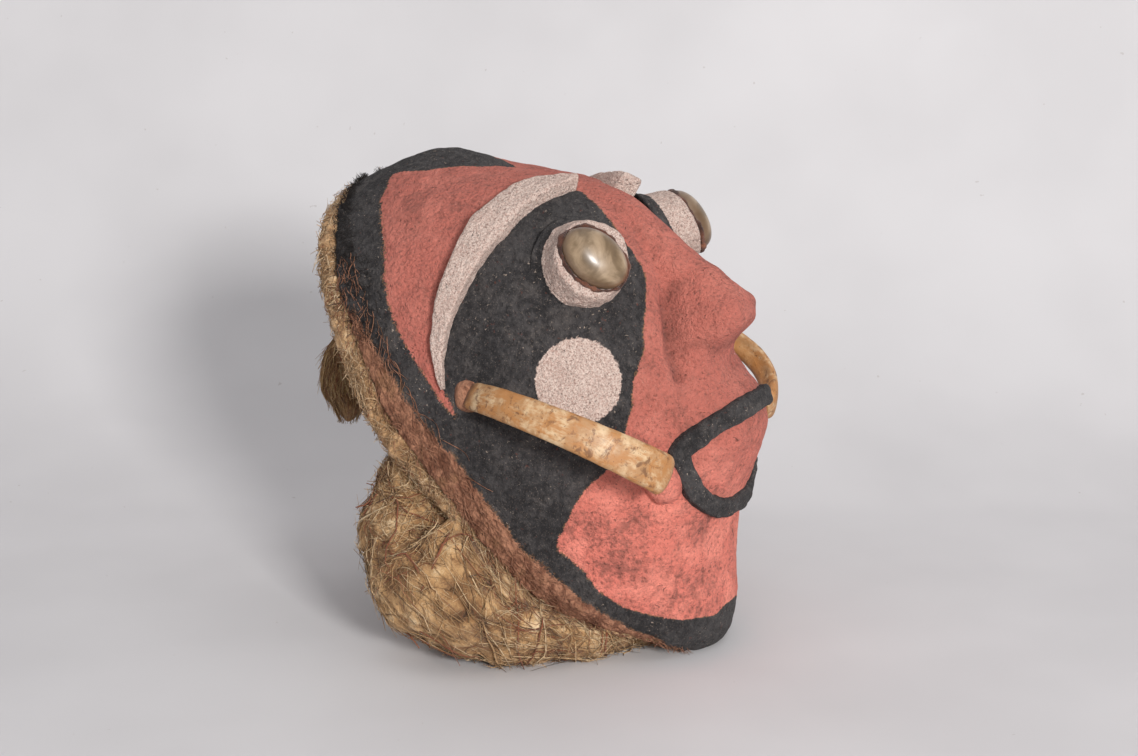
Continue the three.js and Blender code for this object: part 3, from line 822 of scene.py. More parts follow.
@dataclass
class Borders:
    """Where each paint ends, as (swing in degrees, height in mm) outlines on one side of the face."""

    red: Rows = (
        (-20, 226), (0, 229), (6.6, 232.5), (20.8, 240), (32, 243.5), (52.6, 250), (58.9, 246), (63.8, 242),
        (68.8, 231), (73.1, 218), (76, 211), (78, 200), (78.6, 193), (79, 184), (78.6, 176), (78.4, 169),
        (77.8, 160), (77.3, 150), (76.6, 141), (75.8, 150), (75, 159), (73.6, 167), (71, 177), (67.5, 187),
        (64, 193), (60, 198), (52, 205), (41, 209), (30, 210.5), (18, 209), (8.5, 205.5), (10.5, 200),
        (13, 190), (14.4, 179), (14.6, 166), (16, 158), (20.3, 148), (25, 139), (28.3, 130), (34.5, 122),
        (37.9, 113), (41.5, 106), (46, 98), (51.6, 93), (58.7, 90), (66.4, 82), (73, 74), (72.4, 67),
        (70.5, 57), (70.2, 45), (68, 33), (57, 21), (38, 15.5), (24.6, 13.5), (10, 15), (0, 15), (-20, 15),
    )
    bare: Rows = (
        (110, 206), (90, 204), (88, 196), (86.5, 184), (85.1, 166), (84, 151), (83.4, 136), (82.3, 126),
        (82.6, 115), (82.6, 103), (82, 89), (82, 79), (80.2, 65), (78.8, 54), (78.8, 43), (80.5, 33),
        (83, 23), (86, 15), (92, 10), (110, 8),
    )
    disc: Span = (132.0, 18.2)  # the cheek disc's height and radius
    disc_x: float = 59.0
    left_drop: float = 11.5  # how much lower the left crescent's inner end lies, mm
    plane: Span = (95.0, 150.0)  # mm to a radian of swing and of turn, where distances are taken

    def distance(self, outline: Rows, turn: Array, swing: Array, smooth: int = 4) -> Array:
        """Signed distance to an outline, positive inside.

        Args:
            outline: its corners.
            turn: the points' turns.
            swing: the points' swings; their side doesn't matter.
            smooth: points for each span of the outline.
        Returns:
            The distance in mm, on the plane.
        """
        rows = spline(np.array(outline, float), len(outline) * smooth, closed=True)
        per_swing, per_turn = self.plane
        across = lambda s, t: per_swing * s * np.clip(np.sin(t), 0.25, 1)
        corner_turn = FACE.turn(rows[:, 1] / FACE.height)
        cx, cy = across(np.radians(rows[:, 0]), corner_turn), per_turn * corner_turn
        degrees, height = np.degrees(swing), FACE.height / 2 * (1 + np.cos(turn))
        band = smoothstep(height, 150, 185) * (1 - smoothstep(height, 212, 228))
        lower = self.left_drop * np.clip(1 - degrees / 58, 0, 1) * smoothstep(degrees, 0, 7) * band
        px, py = across(np.abs(swing), turn), per_turn * FACE.turn((height + lower) / FACE.height)
        best = np.full(px.shape, 1e9)
        inside = np.zeros(px.shape, bool)
        for i in range(len(rows)):
            ax, ay, bx, by = cx[i - 1], cy[i - 1], cx[i], cy[i]
            dx, dy = bx - ax, by - ay
            t = np.clip(((px - ax) * dx + (py - ay) * dy) / max(dx * dx + dy * dy, 1e-9), 0, 1)
            best = np.minimum(best, (px - ax - t * dx) ** 2 + (py - ay - t * dy) ** 2)
            if ay != by:
                crosses = (ay > py) != (by > py)
                inside ^= crosses & (px < ax + (py - ay) / (by - ay) * dx)
        return np.where(inside, 1, -1) * np.sqrt(best)


@dataclass
class PaintedFace:
    """The paste shell with its nose and muzzle, painted."""

    rows: int = 350
    columns: int = 240
    hairs: int = 900
    straws: int = 700
    lump: float = 1.2
    groove: Rows = ((13, 150), (18, 143), (22, 134), (26, 124), (29, 114))
    fold: Rows = ((0, 118), (8, 116.5), (15, 118), (20.5, 123))
    wing: Triple = (13.0, 130.0, 4.2)  # x, height and bulge of the nose's wings
    crown: float = 207.0  # height above which the paste's edge is black, mm
    hair_look: "Look" = field(default_factory=lambda: Look((0.08, 0.2), (0.3, 1.1), 1.1, 0.25))

    def build(self, paint: bpy.types.Material) -> None:
        """Makes the shell: outer sheet, edge and inner sheet in closed loops over the turns."""
        turn = np.linspace(0, math.pi, self.rows)[:, None]
        half = math.pi / 2
        swing = np.linspace(-half, half, self.columns)[None, :]
        outer = FACE.carved(turn, swing)
        n = FACE.normal(turn, swing)
        rough = self.lump * ROUGH(outer, 26, 2) + 1.0 * ROUGH(outer, 10, 2) + 0.35 * ROUGH(outer, 3.4, 2)
        side = np.clip((np.abs(swing) - 1.3) / 0.27, 0, 1)
        rough = rough + (1.2 * ROUGH(outer, 7, 2) + 0.6 * ROUGH(outer, 3.4)) * side
        fade = np.clip(np.sin(turn) * 4, 0, 1)
        carve = self.bell(outer, self.groove, 4.4, 10) + self.bell(outer, self.fold, 3.6, 9)
        x, z, bulge = self.wing
        wing = bulge * np.exp(-((np.abs(outer[..., 0]) - x) ** 2 + (outer[..., 2] - z) ** 2) / 40)
        outer = outer + n * ((rough - carve + wing) * fade)[..., None]
        # painted shade: darker along the nose's groove and the fold under it, and in the hollows of the
        # paste's 10 mm lumps
        crease_shade = np.clip(carve / 6 - 0.2, 0, 0.6) + np.clip(-ROUGH(outer, 10, 2) - 0.25, 0, 0.5) * 0.5
        inner_swing = np.linspace(half, -half, 16)[None, :]
        inner = FACE.under(turn, inner_swing, FACE.wall)
        share = np.array([0.12, 0.35, 0.65, 0.88])[None, :, None]
        right, left = outer[:, -1:], outer[:, :1]
        crumble = lambda e: e + np.array([0, 1, 0]) * (ROUGH(e, 4, 3) * 0.9 + 0.2)[..., None]
        edge_left = crumble(right * (1 - share) + inner[:, :1] * share)
        edge_right = crumble(inner[:, -1:] * (1 - share) + left * share)
        grid = Grid(np.concatenate([outer, edge_left, inner, edge_right], 1), loop=True)
        borders = Borders()
        behind = (self.rows, grid.points.shape[1] - self.columns)  # the edge and the inner sheet
        for name, outline, rest in (("red", borders.red, OUTSIDE), ("bare", borders.bare, INSIDE)):
            sheet = borders.distance(outline, *np.broadcast_arrays(turn, swing))
            grid.fields[name] = np.concatenate([sheet, np.full(behind, rest)], 1)
        high = (turn > 0) & (grid.points[..., 2] > self.crown)
        edge = np.arange(grid.points.shape[1]) >= self.columns
        grid.fields["bare"] = np.where(high & edge, -6.0, grid.fields["bare"])
        z, radius = borders.disc
        centre = FACE.point(*FACE.at(np.array(borders.disc_x), np.array(z)))
        mirrored = np.concatenate([np.abs(grid.points[..., :1]), grid.points[..., 1:]], -1)
        away = np.linalg.norm(mirrored - centre, axis=-1)
        grid.fields["white"] = np.clip(radius - away, OUTSIDE, INSIDE)
        # the painted shade goes in the dark field, on the outer sheet only
        grid.fields["dark"] = np.concatenate([crease_shade, np.zeros(behind)], 1)
        Piece("painted_face", Slot.PASTE, paint, ("face_shell",)).add(grid).build()
        self.tufts(Strands(Seed.EDGE_HAIRS), paint).build()

    def tufts(self, strands: "Strands", paint: bpy.types.Material) -> Piece:
        """Sooty hairs along the crown's edge, and straws pressed on the bare strip."""
        r, hairs, straws = strands.random, self.hairs, self.straws
        turn = np.concatenate([r.uniform(0.05, 1.1, hairs), np.arccos(r.uniform(-0.95, 0.75, straws))])
        side = np.where(r.uniform(size=hairs + straws) < 0.5, -1, 1)
        inset = np.concatenate([r.uniform(0, 0.16, hairs), r.uniform(0.01, 0.14, straws)])
        hair = np.arange(hairs + straws) < hairs
        length = np.where(hair, r.uniform(2, 7, len(hair)), r.uniform(6, 17, len(hair)))
        heading = np.where(hair, r.uniform(0, 6.3, len(hair)), r.normal(0.15, 0.2, len(hair)))
        path, size = strands.lay(
            FACE.point, FACE.normal, (turn, side * (math.pi / 2 - inset)),
            (length * np.cos(heading), length * np.sin(heading) * side), (130.0, 70.0), self.hair_look,
        )
        size = size * np.where(hair, 0.9, 1.3)[:, None]
        far = np.full(len(hair), OUTSIDE)
        bare = np.where(hair, OUTSIDE, INSIDE)
        return strands.piece(
            "edge_hairs", Slot.PASTE, paint, path, size, red=far, white=far, bare=bare, dark=hair * 1.0
        )

    def bell(self, p: Array, rows: Rows, depth: float, spread: float) -> Array:
        """depth exp(-d^2 / spread) of the distance d to a line of (x, height) rows, on both sides."""
        x, z = np.abs(p[..., 0]), p[..., 2]
        best = np.full(x.shape, 1e9)
        for lx, lz in spline(np.array(rows), 16):
            best = np.minimum(best, (x - lx) ** 2 + (z - lz) ** 2)
        return depth * np.exp(-best / spread)


def sweep(at: Array, across: Array, out: Array, section: Array, width: Array, height: Array) -> Array:
    """A section carried along a path: at + across a width + out o height.

    Args:
        at, across, out: (n, 3) path, and the two directions of its section.
        section: (m, 2) shares (a, o) of width and height.
        width, height: (n,) sizes.
    Returns:
        (n, m, 3) points.
    """
    a = section[None, :, 0, None] * width[:, None, None] * across[:, None, :]
    o = section[None, :, 1, None] * height[:, None, None] * out[:, None, :]
    return at[:, None, :] + a + o


def capped(points: Array, rows: int = CAP_ROWS) -> Array:
    """Adds rows that close both ends of a swept tube in its end sections' middles."""
    shares = np.linspace(0, 1, rows + 1)[:-1][:, None, None]
    first, last = points[0], points[-1]
    head = first.mean(0) + (first - first.mean(0))[None] * shares
    tail = last.mean(0) + (last - last.mean(0))[None] * shares[::-1]
    return np.concatenate([head, points, tail])


def soft_box(count: int, square: float, low: float, high: float) -> Array:
    """A rounded box section: superellipse of half width 1/2 from low to high."""
    angle = angles(count)
    c, s = np.cos(angle), np.sin(angle)
    middle, half = (low + high) / 2, (high - low) / 2
    return np.stack(
        [0.5 * np.sign(c) * np.abs(c) ** square, middle + half * np.sign(s) * np.abs(s) ** square], -1
    )


@dataclass
class BrowCrescents:
    """Raised white crescents from the nose's root over the eyes and down the temples."""

    width: float = 16.0
    height: float = 6.0
    tip_height: dict[Side, float] = per_side(10.5, 5.5)
    tip_drop: dict[Side, float] = per_side(0.05, 0.0)
    tip_start: dict[Side, float] = per_side(0.06, 0.0)
    tip_breadth: dict[Side, float] = per_side(0.6, 0.2)
    dip: dict[Side, float] = per_side(0.4, 0.0)
    swing: Rows = ((0, 7.5), (0.3, 30), (0.55, 52), (0.75, 67.5), (0.9, 74), (1, 76))
    share: Rows = ((0, 0.8), (0.25, 0.819), (0.5, 0.796), (0.7, 0.728), (0.88, 0.649), (1, 0.585))
    steps: int = 170

    def build(self, paint: bpy.types.Material) -> None:
        """Makes both crescents."""
        for side in Side:
            self.one(side, paint)

    def one(self, side: Side, paint: bpy.types.Material) -> None:
        """Makes the crescent of one side: a rounded box section along the path over the face."""
        t = np.linspace(self.tip_start[side], 1, self.steps)
        turn, swing = self.line(t, side)
        after, before = (FACE.point(*self.line(np.clip(t + e, 0, 1), side)) for e in (0.02, -0.02))
        out = FACE.normal(turn, swing)
        across = unit(np.cross(unit(after - before), out))
        inner, outer = self.tip_breadth[side] + 4 * t, 0.1 + 1.7 * (1 - t)
        full = np.minimum(1, inner) * np.minimum(1, 0.7 + 0.6 * t) * np.minimum(1, outer)
        raised = np.maximum(self.tip_height[side] - 20 * t, self.height * (1.1 - 0.2 * t))
        height = np.minimum(raised, 2 + 13 * (1 - t))
        height = height * (1 - self.dip[side] * np.exp(-(((t - 0.32) / 0.13) ** 2)))
        section = soft_box(56, 0.3, -0.45, 1.0)
        points = sweep(FACE.point(turn, swing), across, out, section, self.width * full, height)
        grid = Grid(capped(points), loop=True)
        grid.moved(0.5 * ROUGH(grid.points, 9, 2) + 0.45 * ROUGH(grid.points, 3.2, 2))
        foot = np.abs(grid.points - FACE.point(*FACE.at(grid.points[..., 0], grid.points[..., 2])))[..., 1]
        grid.level(red=-1.0, bare=OUTSIDE)
        grid.fields["white"] = np.minimum(4.0, (foot - 0.6) * 2.0)
        Piece(f"brow_crescent_{side.name.lower()}", Slot.PASTE, paint).add(grid).build()

    def line(self, t: Array, side: Side) -> tuple[Array, Array]:
        """The turn and swing of the crescent's middle at shares of its length, averaged over a span."""
        spread = np.clip(np.asarray(t)[..., None] + np.linspace(-0.09, 0.09, 7), 0, 1)
        drop = self.tip_drop[side] * np.clip(1 - np.asarray(t) / 0.6, 0, None)
        share = Through(self.share)(spread).mean(-1) - drop
        return FACE.turn(share), side.value * np.radians(Through(self.swing)(spread).mean(-1))


@dataclass
class Eyes:
    """Peg eyes: a flared stub of paste with a domed oval shell bedded on its end."""

    swing: float = 31.4
    share: float = 0.676
    turn_out: float = 42.0
    base_radius: float = 18.5
    top_radius: float = 15.8
    length: float = 14.0
    shell_length: float = 31.0
    shell_breadth: float = 22.0
    dome: float = 9.0
    tilt: float = 64.0
    steps: int = 120

    def build(
        self, paint: bpy.types.Material, shell: bpy.types.Material, bedding: bpy.types.Material
    ) -> None:
        """Makes both eyes."""
        for side in Side:
            name = side.name.lower()
            Piece(f"eye_stub_{name}", Slot.PASTE, paint).add(self.stub(side)).build()
            eye = Piece(f"polished_eye_{name}", Slot.SHELL, shell, (f"eye_shell_{name}",))
            eye.add(self.shell(side)).build()
            Piece(f"eye_bedding_{name}", Slot.PASTE, bedding).add(self.bed(side)).build()

    def axes(self, side: Side) -> tuple[Array, Array, Array, Array]:
        """The stub's foot on the face, the way it points, and the shell's long and short ways."""
        turn, swing = FACE.turn(self.share), side.value * math.radians(self.swing)
        angle, tilt = math.radians(self.turn_out), math.radians(self.tilt)
        out = np.array([side.value * math.sin(angle), -math.cos(angle), 0.0])
        up = np.array([0.0, 0.0, 1.0])
        outwards = np.cross(up, out) * side.value
        long = outwards * math.cos(tilt) + up * math.sin(tilt)
        return FACE.point(turn, swing), out, long, np.cross(out, long)

    def turned(self, side: Side, rows: Array, flat: float = 1.0, shift: float = 0.0) -> Grid:
        """A lathe round the axis: rows of (radius, along), with the short way scaled by flat."""
        foot, out, long, short = self.axes(side)
        ring = circle(angles(self.steps), long, flat * short)
        points = foot + rows[:, 0, None, None] * ring[None] + (rows[:, 1] + shift)[:, None, None] * out
        return Grid(points, loop=True)

    def stub(self, side: Side) -> Grid:
        """The stub, which flares into the face and has a rounded rim."""
        base, top, length = self.base_radius, self.top_radius, self.length
        corners = np.array(
            [
                (0, -4), (base + 2.2, -4), (base + 2.0, -2), (base + 0.9, 0.4), (base, 2.5), (base - 0.8, 6),
                (top + 0.9, length - 3), (top + 0.5, length - 1.4), (top - 0.5, length - 0.3),
                (top - 2.5, length + 0.1), (top * 0.5, length), (0, length),
            ]
        )
        rows = spline(corners, 70)
        rows[0], rows[-1] = corners[0], corners[-1]
        rows[:, 0] = np.maximum(rows[:, 0], 0)
        grid = self.turned(side, rows)
        wear = np.clip(rows[:, 0] / 6, 0, 1)[:, None]
        grid.moved((0.9 * ROUGH(grid.points, 9, 2) + 0.55 * ROUGH(grid.points, 3, 2)) * wear)
        along = np.broadcast_to(rows[:, 1, None], grid.points.shape[:2])
        grid.fields["white"] = np.minimum(4.0, (along - 1.2) * 1.6)
        return grid.level(red=-4.0, bare=OUTSIDE)

    def shell(self, side: Side) -> Grid:
        """The shell: a dome whose height goes with the sine as its radius goes with the cosine."""
        radius = self.shell_length / 2
        t = np.linspace(0, math.pi / 2, 26)
        dome = np.stack([radius * np.cos(t) ** 0.8, 1.2 + (self.dome - 1.2) * np.sin(t)], -1)
        under = np.array([(0, 0), (radius * 0.5, 0), (radius - 0.9, 0), (radius - 0.15, 0.5)])
        rows = np.concatenate([under, dome])
        rows[-1, 0] = 0
        grid = self.turned(side, rows, self.shell_breadth / self.shell_length, self.length + FACE.gap)
        foot, _, long, short = self.axes(side)
        flat = grid.points - foot
        a, b = flat @ long, flat @ short
        grid.fields["band"] = np.sqrt((a + 16) ** 2 + (b * 1.5 + 14) ** 2) * 1.5
        reach = np.sqrt((a / radius) ** 2 + (b / (self.shell_breadth / 2)) ** 2)
        grid.fields["edge"] = np.clip(reach, 0, 1.2)
        return grid

    def bed(self, side: Side) -> Grid:
        """The ragged bead of brown paste round the shell."""
        radius = self.shell_length / 2
        t = angles(14)
        rows = np.stack([radius + 0.5 + 0.8 * np.cos(t), 0.4 + 1.2 * np.sin(t)], -1)
        foot, out, long, short = self.axes(side)
        ring = circle(angles(160), long, short * (self.shell_breadth / self.shell_length + 0.02))
        along = (rows[:, 1] + self.length)[None, :, None] * out
        points = foot + rows[None, :, 0, None] * ring[:, None] + along
        grid = Grid(points, loop=True, ring=True)
        ragged = 1.1 * ROUGH(points[:, :1], 4.5, 2) + 0.6 * ROUGH(points, 2.2)
        grid.moved(np.maximum(ragged, -0.7) + 0.3 * ROUGH(grid.points, 1.3))
        grid.fields["tone"] = 0.2 + 0.3 * ROUGH(grid.points, 4)
        return grid


@dataclass
class Mouth:
    """Black lips in the shape of a D on its straight side, and the red tongue in it."""

    half_width: float = 38.0
    corner: float = 84.0
    rise: float = 6.0
    drop: float = 30.0
    lip_width: float = 9.0
    lip_height: float = 4.2
    bulge: float = 3.4
    steps: int = 260

    def build(self, paint: bpy.types.Material) -> None:
        """Makes the lips and the tongue."""
        Piece("lips", Slot.PASTE, paint).add(self.lips()).build()
        Piece("tongue", Slot.PASTE, paint).add(self.tongue()).build()

    def line(self, share: Array) -> Array:
        """The ring's points on the carved face, at shares of the way round."""
        angle = 2 * math.pi * share
        c, s = np.cos(angle), np.sin(angle)
        x = self.half_width * np.sign(c) * np.abs(c) ** np.where(s > 0, 0.7, 0.9)
        z = self.corner + np.where(s > 0, self.rise * np.clip(s, 0, 1) ** 0.55, self.drop * s)
        return FACE.carved(*FACE.at(x, z))

    def ring(self) -> Array:
        """The ring's points, evened out."""
        p = self.line(np.linspace(0, 1, self.steps, endpoint=False))
        for _ in range(3):
            p = (np.roll(p, 1, 0) + 2 * p + np.roll(p, -1, 0)) / 4
        return p

    def lips(self) -> Grid:
        """A rounded section along the ring."""
        p = self.ring()
        out = FACE.normal(*FACE.at(p[:, 0], p[:, 2]))
        ahead = unit(np.roll(p, -2, 0) - np.roll(p, 2, 0))
        out = unit(out - (out * ahead).sum(-1, keepdims=True) * ahead)
        size = np.full(self.steps, self.lip_width), np.full(self.steps, self.lip_height)
        points = sweep(p, np.cross(ahead, out), out, soft_box(40, 0.5, -0.9, 0.95), *size)
        grid = Grid(points, loop=True, ring=True)
        grid.moved(0.8 * ROUGH(grid.points, 8, 2) + 0.5 * ROUGH(grid.points, 3, 2))
        return grid.level(red=-5.0, white=OUTSIDE, bare=OUTSIDE)

    def tongue(self) -> Grid:
        """A cushion over the whole ring: middle + s (ring - middle), raised by bulge (1 - s^2)."""
        ring = self.ring()
        middle = ring.mean(0)
        out = unit(FACE.normal(*FACE.at(middle[0], middle[2])))
        s = np.linspace(0.0, 0.96, 60)
        front = middle + s[:, None, None] * (ring - middle)[None]
        front = front + (self.bulge * (1 - s**2) + 1.2)[:, None, None] * out
        back = front[::-1] - out * (2.5 + 3 * (1 - s[::-1] ** 2))[:, None, None]
        grid = Grid(np.concatenate([front, back]), loop=True)
        fade = np.clip(np.concatenate([s, s[::-1]])[:, None] * 8, 0, 1)
        grid.moved((0.7 * ROUGH(grid.points, 10, 2) + 0.45 * ROUGH(grid.points, 3, 2)) * fade)
        return grid.level(red=6.0, white=OUTSIDE, bare=OUTSIDE)


@dataclass
class Tusks:
    """Boar tusks that bow out from the mouth's corners to the cheeks, with the paste that holds them."""

    root: Triple = (42.0, -36.0, 79.0)
    tip: Triple = (74.0, 10.0, 147.0)
    bow: Triple = (28.5, -27.0, -6.0)
    length: float = 118.0
    root_width: float = 19.0
    tip_width: float = 11.5
    thickness: float = 9.5
    section: Rows = (
        (-0.5, 0.1), (-0.42, 0.4), (-0.15, 0.5), (0.15, 0.5), (0.42, 0.4), (0.5, 0.1), (0.25, -0.32),
        (0, -0.5), (-0.25, -0.32),
    )
    sockets: Rows = ((9.5, 8.5, 10.5), (6.5, 7.0, 7.5))
    buried: float = 0.17  # how much of the tusk's half turn starts inside its root
    steps: int = 190

    def build(self, enamel: bpy.types.Material, paint: bpy.types.Material) -> None:
        """Makes both tusks and their four sockets."""
        for side in Side:
            name = side.name.lower()
            piece = Piece(f"worn_tusk_{name}", Slot.TUSK, enamel, (f"tusk_{name}",))
            piece.add(self.tusk(side)).build()
            ends = ("root", self.root), ("tip", self.tip)
            for (place, centre), radii in zip(ends, self.sockets):
                lump = Piece(f"tusk_socket_{place}_{name}", Slot.PASTE, paint)
                lump.add(self.socket(side, centre, radii, place == "tip")).build()

    def tusk(self, side: Side) -> Grid:
        """The section along an arc: from root to tip, plus the bow times a half sine wave."""
        root, tip, bow = (np.array(v) * (side.value, 1, 1) for v in (self.root, self.tip, self.bow))

        def path(t: Array) -> Array:
            s = ((1 - np.cos(math.pi * t)) / 2)[:, None]
            return root * (1 - s) + tip * s + bow * np.sin(math.pi * t)[:, None]

        t = np.linspace(self.buried, 1, self.steps)
        ahead = unit(path(np.clip(t + 0.02, 0, 1)) - path(np.clip(t - 0.02, 0, 1)))
        out = unit(bow - (ahead @ bow)[:, None] * ahead)
        across = np.cross(ahead, out)
        section = spline(np.array(self.section), 54, closed=True)
        width = self.root_width + (self.tip_width - self.root_width) * t
        ends = 0.4 * np.exp(-(((t - self.buried) / 0.03) ** 2)) + 0.35 * np.exp(-(((1 - t) / 0.03) ** 2))
        rounded = 1 - ends
        thickness = self.thickness * (1 - 0.25 * t) * rounded
        points = sweep(path(t), across, out, section, width * rounded, thickness)
        grid = Grid(capped(points), loop=True)
        grid.moved(0.22 * ROUGH(grid.points, 12, 2) + 0.08 * ROUGH(grid.points, 3, 2))
        length = self.length * np.concatenate([np.zeros(CAP_ROWS), t, np.ones(CAP_ROWS)])[:, None]
        a, o = section.T
        shape = grid.points.shape[:2]
        for name, values in (
            ("along", length), ("around", a * 16), ("swing", o * 9), ("inner", np.clip(-o * 2.4, 0, 1)),
        ):
            grid.fields[name] = np.broadcast_to(values, shape)
        end = np.clip((length - (self.length - 10)) / 10, 0, 1)
        grid.fields["dirt"] = end + 0.5 * ROUGH(grid.points, 5, 2) * (end > 0)
        grid.fields["amber"] = np.clip((26 - length) / 22, 0, 1) + 0.3 * ROUGH(grid.points, 7, 2)
        return grid

    def socket(self, side: Side, centre: Triple, radii: Triple, brown: bool) -> Grid:
        """A lump of paste: an ellipsoid with lumps on it."""
        up = np.linspace(0, math.pi, 46)[:, None]
        around = angles(80)[None, :]
        height = np.broadcast_to(np.cos(up), (len(up), around.size))
        ball = np.stack([np.sin(up) * np.cos(around), np.sin(up) * np.sin(around), height], -1)
        grid = Grid(np.array(centre) * (side.value, 1, 1) + ball * np.array(radii), loop=True)
        grid.moved(ROUGH(grid.points, 6, 3) * np.clip(np.sin(up) * 3, 0, 1))
        return grid.level(red=-4.0 if brown else 4.0, white=OUTSIDE, bare=4.0 if brown else OUTSIDE)


# Fibre


@dataclass(frozen=True)
class Look:
    """How strands lie on a surface, in mm, how long they are and how they are coloured."""

    radius: Span
    lift: Span  # least and most height over the surface
    stray: float  # how far an end may lift off
    curl: float  # how far a path bends sideways, as a share of its run
    length: Span = (0.0, 0.0)
    tone: Span = (0.5, 0.2)  # middle and spread
    darkest: float = 0.02
    rusty: float = 0.0  # share of the strands that are reddish
    rust: float = 1.0
    spread: float | None = None  # radians about the surface's first way; None for any way


@dataclass
class Strands:
    """Thin three-sided strands that lie along a surface, lift off it and stray."""

    seed: Seed
    sides: int = 3
    points: int = 8

    def __post_init__(self) -> None:
        """Starts its own random draws."""
        self.random = np.random.default_rng(self.seed.value)

    def tubes(self, path: Array, radius: Array) -> tuple[Array, list[Array]]:
        """Closed tubes round paths.

        Args:
            path: (n, m, 3) points.
            radius: (n, m) radii.
        Returns:
            Points and faces: rings of path + radius (cos side + sin other), and both ends.
        """
        n, m = path.shape[:2]
        ahead = unit(np.gradient(path, axis=1))
        side = unit(np.cross(ahead, self.random.normal(size=(n, 1, 3))))
        other = np.cross(ahead, side)
        angle = 2 * math.pi * np.arange(self.sides) / self.sides
        ring = circle(angle, side[:, :, None], other[:, :, None])
        points = path[:, :, None] + radius[:, :, None, None] * ring
        ids = np.arange(n * m * self.sides).reshape(n, m, self.sides)
        after = np.roll(ids, -1, 2)
        quads = np.stack([ids[:, :-1], after[:, :-1], after[:, 1:], ids[:, 1:]], -1).reshape(-1, 4)
        ends = [ids[:, 0, ::-1].reshape(-1, self.sides), ids[:, -1].reshape(-1, self.sides)]
        return points.reshape(-1, 3), [quads, *ends]

    def lay(
        self,
        surface: Callable[[Array, Array], Array],
        outwards: Callable[[Array, Array], Array],
        start: tuple[Array, Array],
        run: tuple[Array, Array],
        scale: tuple[Array | float, Array | float],
        look: Look,
    ) -> tuple[Array, Array]:
        """Paths over a surface of two parameters.

        Args:
            surface, outwards: the surface's points and normals.
            start: each strand's first parameters.
            run: how far it runs along each of them, mm.
            scale: how many mm one unit of each parameter is.
            look: how the strands lie.
        Returns:
            (n, points, 3) paths and (n, points) radii.
        """
        r = self.random
        n = len(start[0])
        s = np.linspace(0, 1, self.points)[None, :]
        bend = r.normal(size=(2, n, 1)) * look.curl
        wave = r.uniform(0, 2 * math.pi, (n, 1))
        side = bend[0] * s * (1 - s) * 2 + bend[1] * np.sin(s * 5 + wave) * 0.3
        first, other = run[0][:, None], run[1][:, None]
        per = [np.broadcast_to(np.asarray(value, float), n)[:, None] for value in scale]
        u = start[0][:, None] + (first * s - other * side * 0.6) / per[0]
        v = start[1][:, None] + (other * s + first * side * 0.6) / per[1]
        height = r.uniform(*look.lift, (n, 1))
        height = height + look.stray * np.abs(r.normal(size=(n, 1))) * (2 * s - 1) ** 4
        height = height + r.normal(size=(n, 1)) * 0.8 * np.sin(s * 7 + wave)
        path = surface(u, v) + outwards(u, v) * height[..., None]
        size = r.uniform(*look.radius, (n, 1)) * (1 - 0.55 * s**2) * (0.6 + 0.4 * np.clip(s * 6, 0, 1))
        return path, size

    def piece(
        self, name: str, slot: Slot, material: bpy.types.Material, path: Array, size: Array, **values: Array
    ) -> Piece:
        """A piece of tubes round paths, whose fields have one value for each strand."""
        reps = path.shape[1] * self.sides
        fields = {key: np.repeat(value, reps) for key, value in values.items()}
        return Piece(name, slot, material, weld=0).add_raw(*self.tubes(path, size), fields)

    def layer(
        self,
        name: str,
        slot: Slot,
        material: bpy.types.Material,
        surface: Callable[[Array, Array], Array],
        outwards: Callable[[Array, Array], Array],
        start: tuple[Array, Array],
        scale: tuple[Array | float, Array | float],
        look: Look,
        shade: Array | float = 0.0,
    ) -> Piece:
        """A piece of strands over a surface, drawn as their look says.

        Args:
            name, slot, material: the piece's.
            surface, outwards, start, scale: as for lay.
            look: how the strands lie and are coloured.
            shade: painted shade, what is added to their tone.
        Returns:
            The piece, not built yet.
        """
        r, n = self.random, len(start[0])
        length = r.uniform(*look.length, n)
        if look.spread is None:
            heading = r.uniform(0, 2 * math.pi, n)
        else:
            heading = r.normal(0, look.spread, n) + np.where(r.uniform(size=n) < 0.5, 0, math.pi)
        run = length * np.cos(heading), length * np.sin(heading)
        path, size = self.lay(surface, outwards, start, run, scale, look)
        tone = np.clip(r.normal(*look.tone, n) + shade, look.darkest, 1)
        rust = (r.uniform(size=n) < look.rusty) * look.rust
        return self.piece(name, slot, material, path, size, tone=tone, rust=rust)


